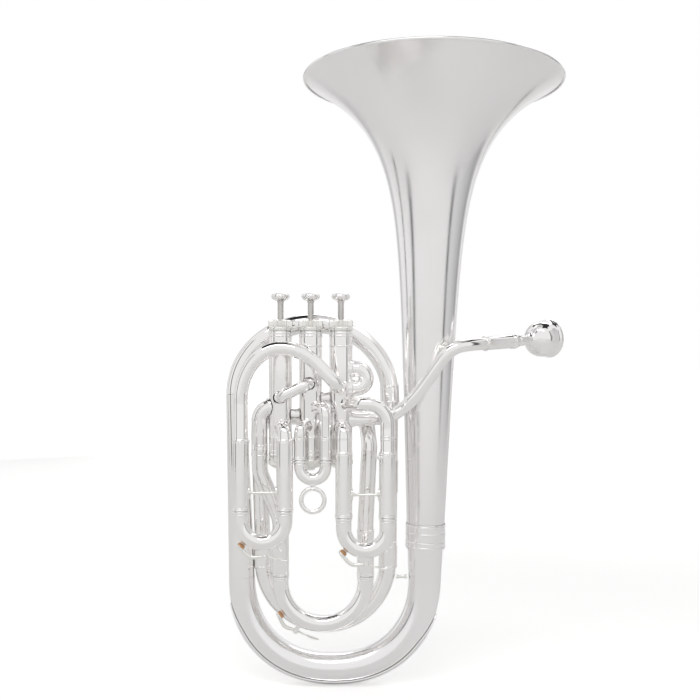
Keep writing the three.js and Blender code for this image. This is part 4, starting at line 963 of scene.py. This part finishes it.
def make_braces():
    for number, (left, right), z in ((1, SLIDE_1, 181.2), (3, SLIDE_3, 183.0)):
        shapes = [
            strut((left + SLEEVE_RADIUS, SLIDE_Y, z), (right - SLEEVE_RADIUS, SLIDE_Y, z), 1.3, 2.2),
            foot((left, SLIDE_Y, z), Z_AXIS, SLEEVE_RADIUS, X_AXIS, 11, 7),
            foot((right, SLIDE_Y, z), Z_AXIS, SLEEVE_RADIUS, -X_AXIS, 11, 7),
        ]
        silver(f"slide_{number}_brace_bar", merged(*shapes), f"slide_{number}_brace", material=RING_SILVER)
    bar = strut((58.5, LOOP_Y, 99.4), (68.5, LOOP_Y, 99.4), 1.5, 2.3)
    silver("bell_brace_bar", bar, "bell_brace", material=RING_SILVER)
    brace_height = 233.5
    centre = on_bell(brace_height)
    surface = bell_radius(brace_height) - 0.1
    toward = np.array([0.496, -0.868, 0.0])
    shapes = [
        strut(centre + toward * surface, centre + toward * 34.4, 2.2, 3.8),
        foot(centre, BELL_AXIS, surface, toward, 18, 15),
    ]
    silver("leadpipe_brace_bar", merged(*shapes), "leadpipe_brace", material=RING_SILVER)


def carry_over():
    """The pistons and springs are hidden in the casings and keep their CAD shapes."""
    for number in (1, 2, 3):
        for kind in ("piston", "spring"):
            node = frame["nodes"][f"valve_{number}_{kind}"]
            node.data.materials.clear()
            node.data.materials.append(STEEL)


# ---- Studio ----
def glow_material(name, *stops):
    """A panel that only glows, its brightness following (share across, brightness) stops along its X."""
    material, tree, shader, coordinates = new_material(name)
    shader.inputs["Base Color"].default_value = (0, 0, 0, 1)
    shader.inputs["Specular IOR Level"].default_value = 0
    axes = tree.nodes.new("ShaderNodeSeparateXYZ")
    ramp = tree.nodes.new("ShaderNodeValToRGB")
    elements = ramp.color_ramp.elements
    while len(elements) < len(stops):
        elements.new(0.5)
    for element, (share, value) in zip(elements, stops):
        element.position = share
        element.color = (value, value, value, 1)
    tree.links.new(coordinates.outputs["Generated"], axes.inputs["Vector"])
    tree.links.new(axes.outputs["X"], ramp.inputs["Fac"])
    tree.links.new(ramp.outputs["Color"], shader.inputs["Emission Color"])
    shader.inputs["Emission Strength"].default_value = 1.0
    return material


def paper_material(name, colour, glow):
    material, tree, shader, coordinates = new_material(name)
    tone = noise_value(tree, coordinates, 3, 0.99, 1.0)
    ramp = tree.nodes.new("ShaderNodeValToRGB")
    ramp.color_ramp.elements[0].color = (0, 0, 0, 1)
    ramp.color_ramp.elements[1].color = (*colour, 1)
    tree.links.new(tone, ramp.inputs["Fac"])
    tree.links.new(ramp.outputs["Color"], shader.inputs["Base Color"])
    shader.inputs["Roughness"].default_value = 0.95
    shader.inputs["Specular IOR Level"].default_value = 0
    shader.inputs["Emission Color"].default_value = (*colour, 1)
    shader.inputs["Emission Strength"].default_value = glow
    return material


def seen_by(panel, camera, reflections):
    panel.visible_camera = camera
    panel.visible_glossy = reflections
    panel.visible_diffuse = reflections
    panel.visible_shadow = reflections


def card(name, centre, facing, width, height, material, camera=False, reflections=True):
    mesh = bpy.data.meshes.new(name)
    w, h = width / 2, height / 2
    mesh.from_pydata([(-w, -h, 0), (w, -h, 0), (w, h, 0), (-w, h, 0)], [], [(0, 1, 2, 3)])
    mesh.materials.append(material)
    panel = bpy.data.objects.new(name, mesh)
    panel.location = centre
    panel.rotation_euler = Vector(facing).to_track_quat("Z", "Y").to_euler()
    seen_by(panel, camera, reflections)
    bpy.context.scene.collection.objects.link(panel)
    return panel


def side_card(name, degrees, distance, width, height, material):
    """An upright card at an angle from the front towards +X, facing the horn."""
    angle = math.radians(degrees)
    place = (distance * math.sin(angle), -distance * math.cos(angle), 0.45)
    return card(name, place, (-place[0], -place[1], 0), width, height, material)


def area_light(name, place, target, size, power):
    data = bpy.data.lights.new(name, "AREA")
    data.shape = "RECTANGLE"
    data.size, data.size_y = size
    data.energy = power
    lamp = bpy.data.objects.new(name, data)
    lamp.location = place
    lamp.rotation_euler = (Vector(place) - Vector(target)).to_track_quat("Z", "Y").to_euler()
    bpy.context.scene.collection.objects.link(lamp)
    return lamp


def make_dome():
    """The white surroundings that the camera sees. Reflections see the softer world instead."""
    mesh = bpy.data.meshes.new("white_surroundings")
    work = bmesh.new()
    bmesh.ops.create_uvsphere(work, u_segments=32, v_segments=16, radius=30)
    work.to_mesh(mesh)
    work.free()
    mesh.materials.append(glow_material("white_paper_far", (0, 1.0), (1, 1.0)))
    dome = bpy.data.objects.new("white_surroundings", mesh)
    seen_by(dome, True, False)
    bpy.context.scene.collection.objects.link(dome)


def make_studio():
    world = bpy.data.worlds.new("pale_studio")
    world.use_nodes = True
    background = world.node_tree.nodes["Background"]
    background.inputs["Color"].default_value = (1.0, 1.0, 0.995, 1)
    background.inputs["Strength"].default_value = 0.84
    bpy.context.scene.world = world
    bpy.context.scene.view_settings.view_transform = "Standard"
    make_dome()
    reflected = paper_material("floor_grey", (0.9, 0.9, 0.89), 0)
    card("floor_reflected", (0, 0, -0.001), (0, 0, 1), 40, 40, reflected)
    floor = paper_material("floor_white", (0.9, 0.9, 0.895), 0.42)
    card("floor", (0, 0, 0), (0, 0, 1), 80, 80, floor, True, False)
    shade = glow_material(
        "right_shade", (0, 0.70), (0.12, 0.35), (0.18, 0.33), (0.34, 0.45), (0.6, 0.58), (1, 0.70),
    )
    side_card("right_shade", 92, 2.0, 2.7, 3.2, shade)
    shade = glow_material("left_shade", (0, 0.72), (0.3, 0.6), (0.72, 0.5), (1, 0.6))
    side_card("left_shade", -148, 2.2, 0.9, 3.2, shade)
    dark = glow_material("dark_card", (0, 0.03), (1, 0.03))
    card("ceiling_gap", (0, 0.5, 2.5), (0, 0, -1), 3.0, 2.4, dark)
    side_card("left_line", -104, 1.9, 0.14, 3.0, dark)
    band = glow_material("grey_card", (0, 0.6), (0.35, 0.1), (0.65, 0.1), (1, 0.6))
    side_card("left_band", -66, 1.9, 0.42, 3.0, band)
    side_card("right_band", 62, 1.9, 0.36, 3.0, band)
    side_card("right_line", 140, 1.9, 0.06, 3.0, dark)
    target = (0, 0, 0.28)
    area_light("overhead_front", (-0.5, -1.25, 2.2), target, (1.8, 0.35), 8)
    area_light("overhead_back", (0.4, 1.5, 2.1), target, (1.8, 0.5), 6)


def make_camera():
    data = bpy.data.cameras.new("photo_view")
    data.sensor_width = 36.0
    data.lens = 48.14
    data.shift_y = 11 / 700
    camera = bpy.data.objects.new("photo_view", data)
    camera.location = (0.0157, -0.868, 0.299)
    camera.rotation_euler = (math.pi / 2, 0, 0)
    bpy.context.scene.collection.objects.link(camera)
    bpy.context.scene.camera = camera


make_bell()
make_outer_loop()
for valve in (0, 1, 2):
    make_casing(valve)
make_links()
make_sleeves()
make_crooks()
make_leadpipe()
make_braces()
carry_over()
make_studio()
make_camera()
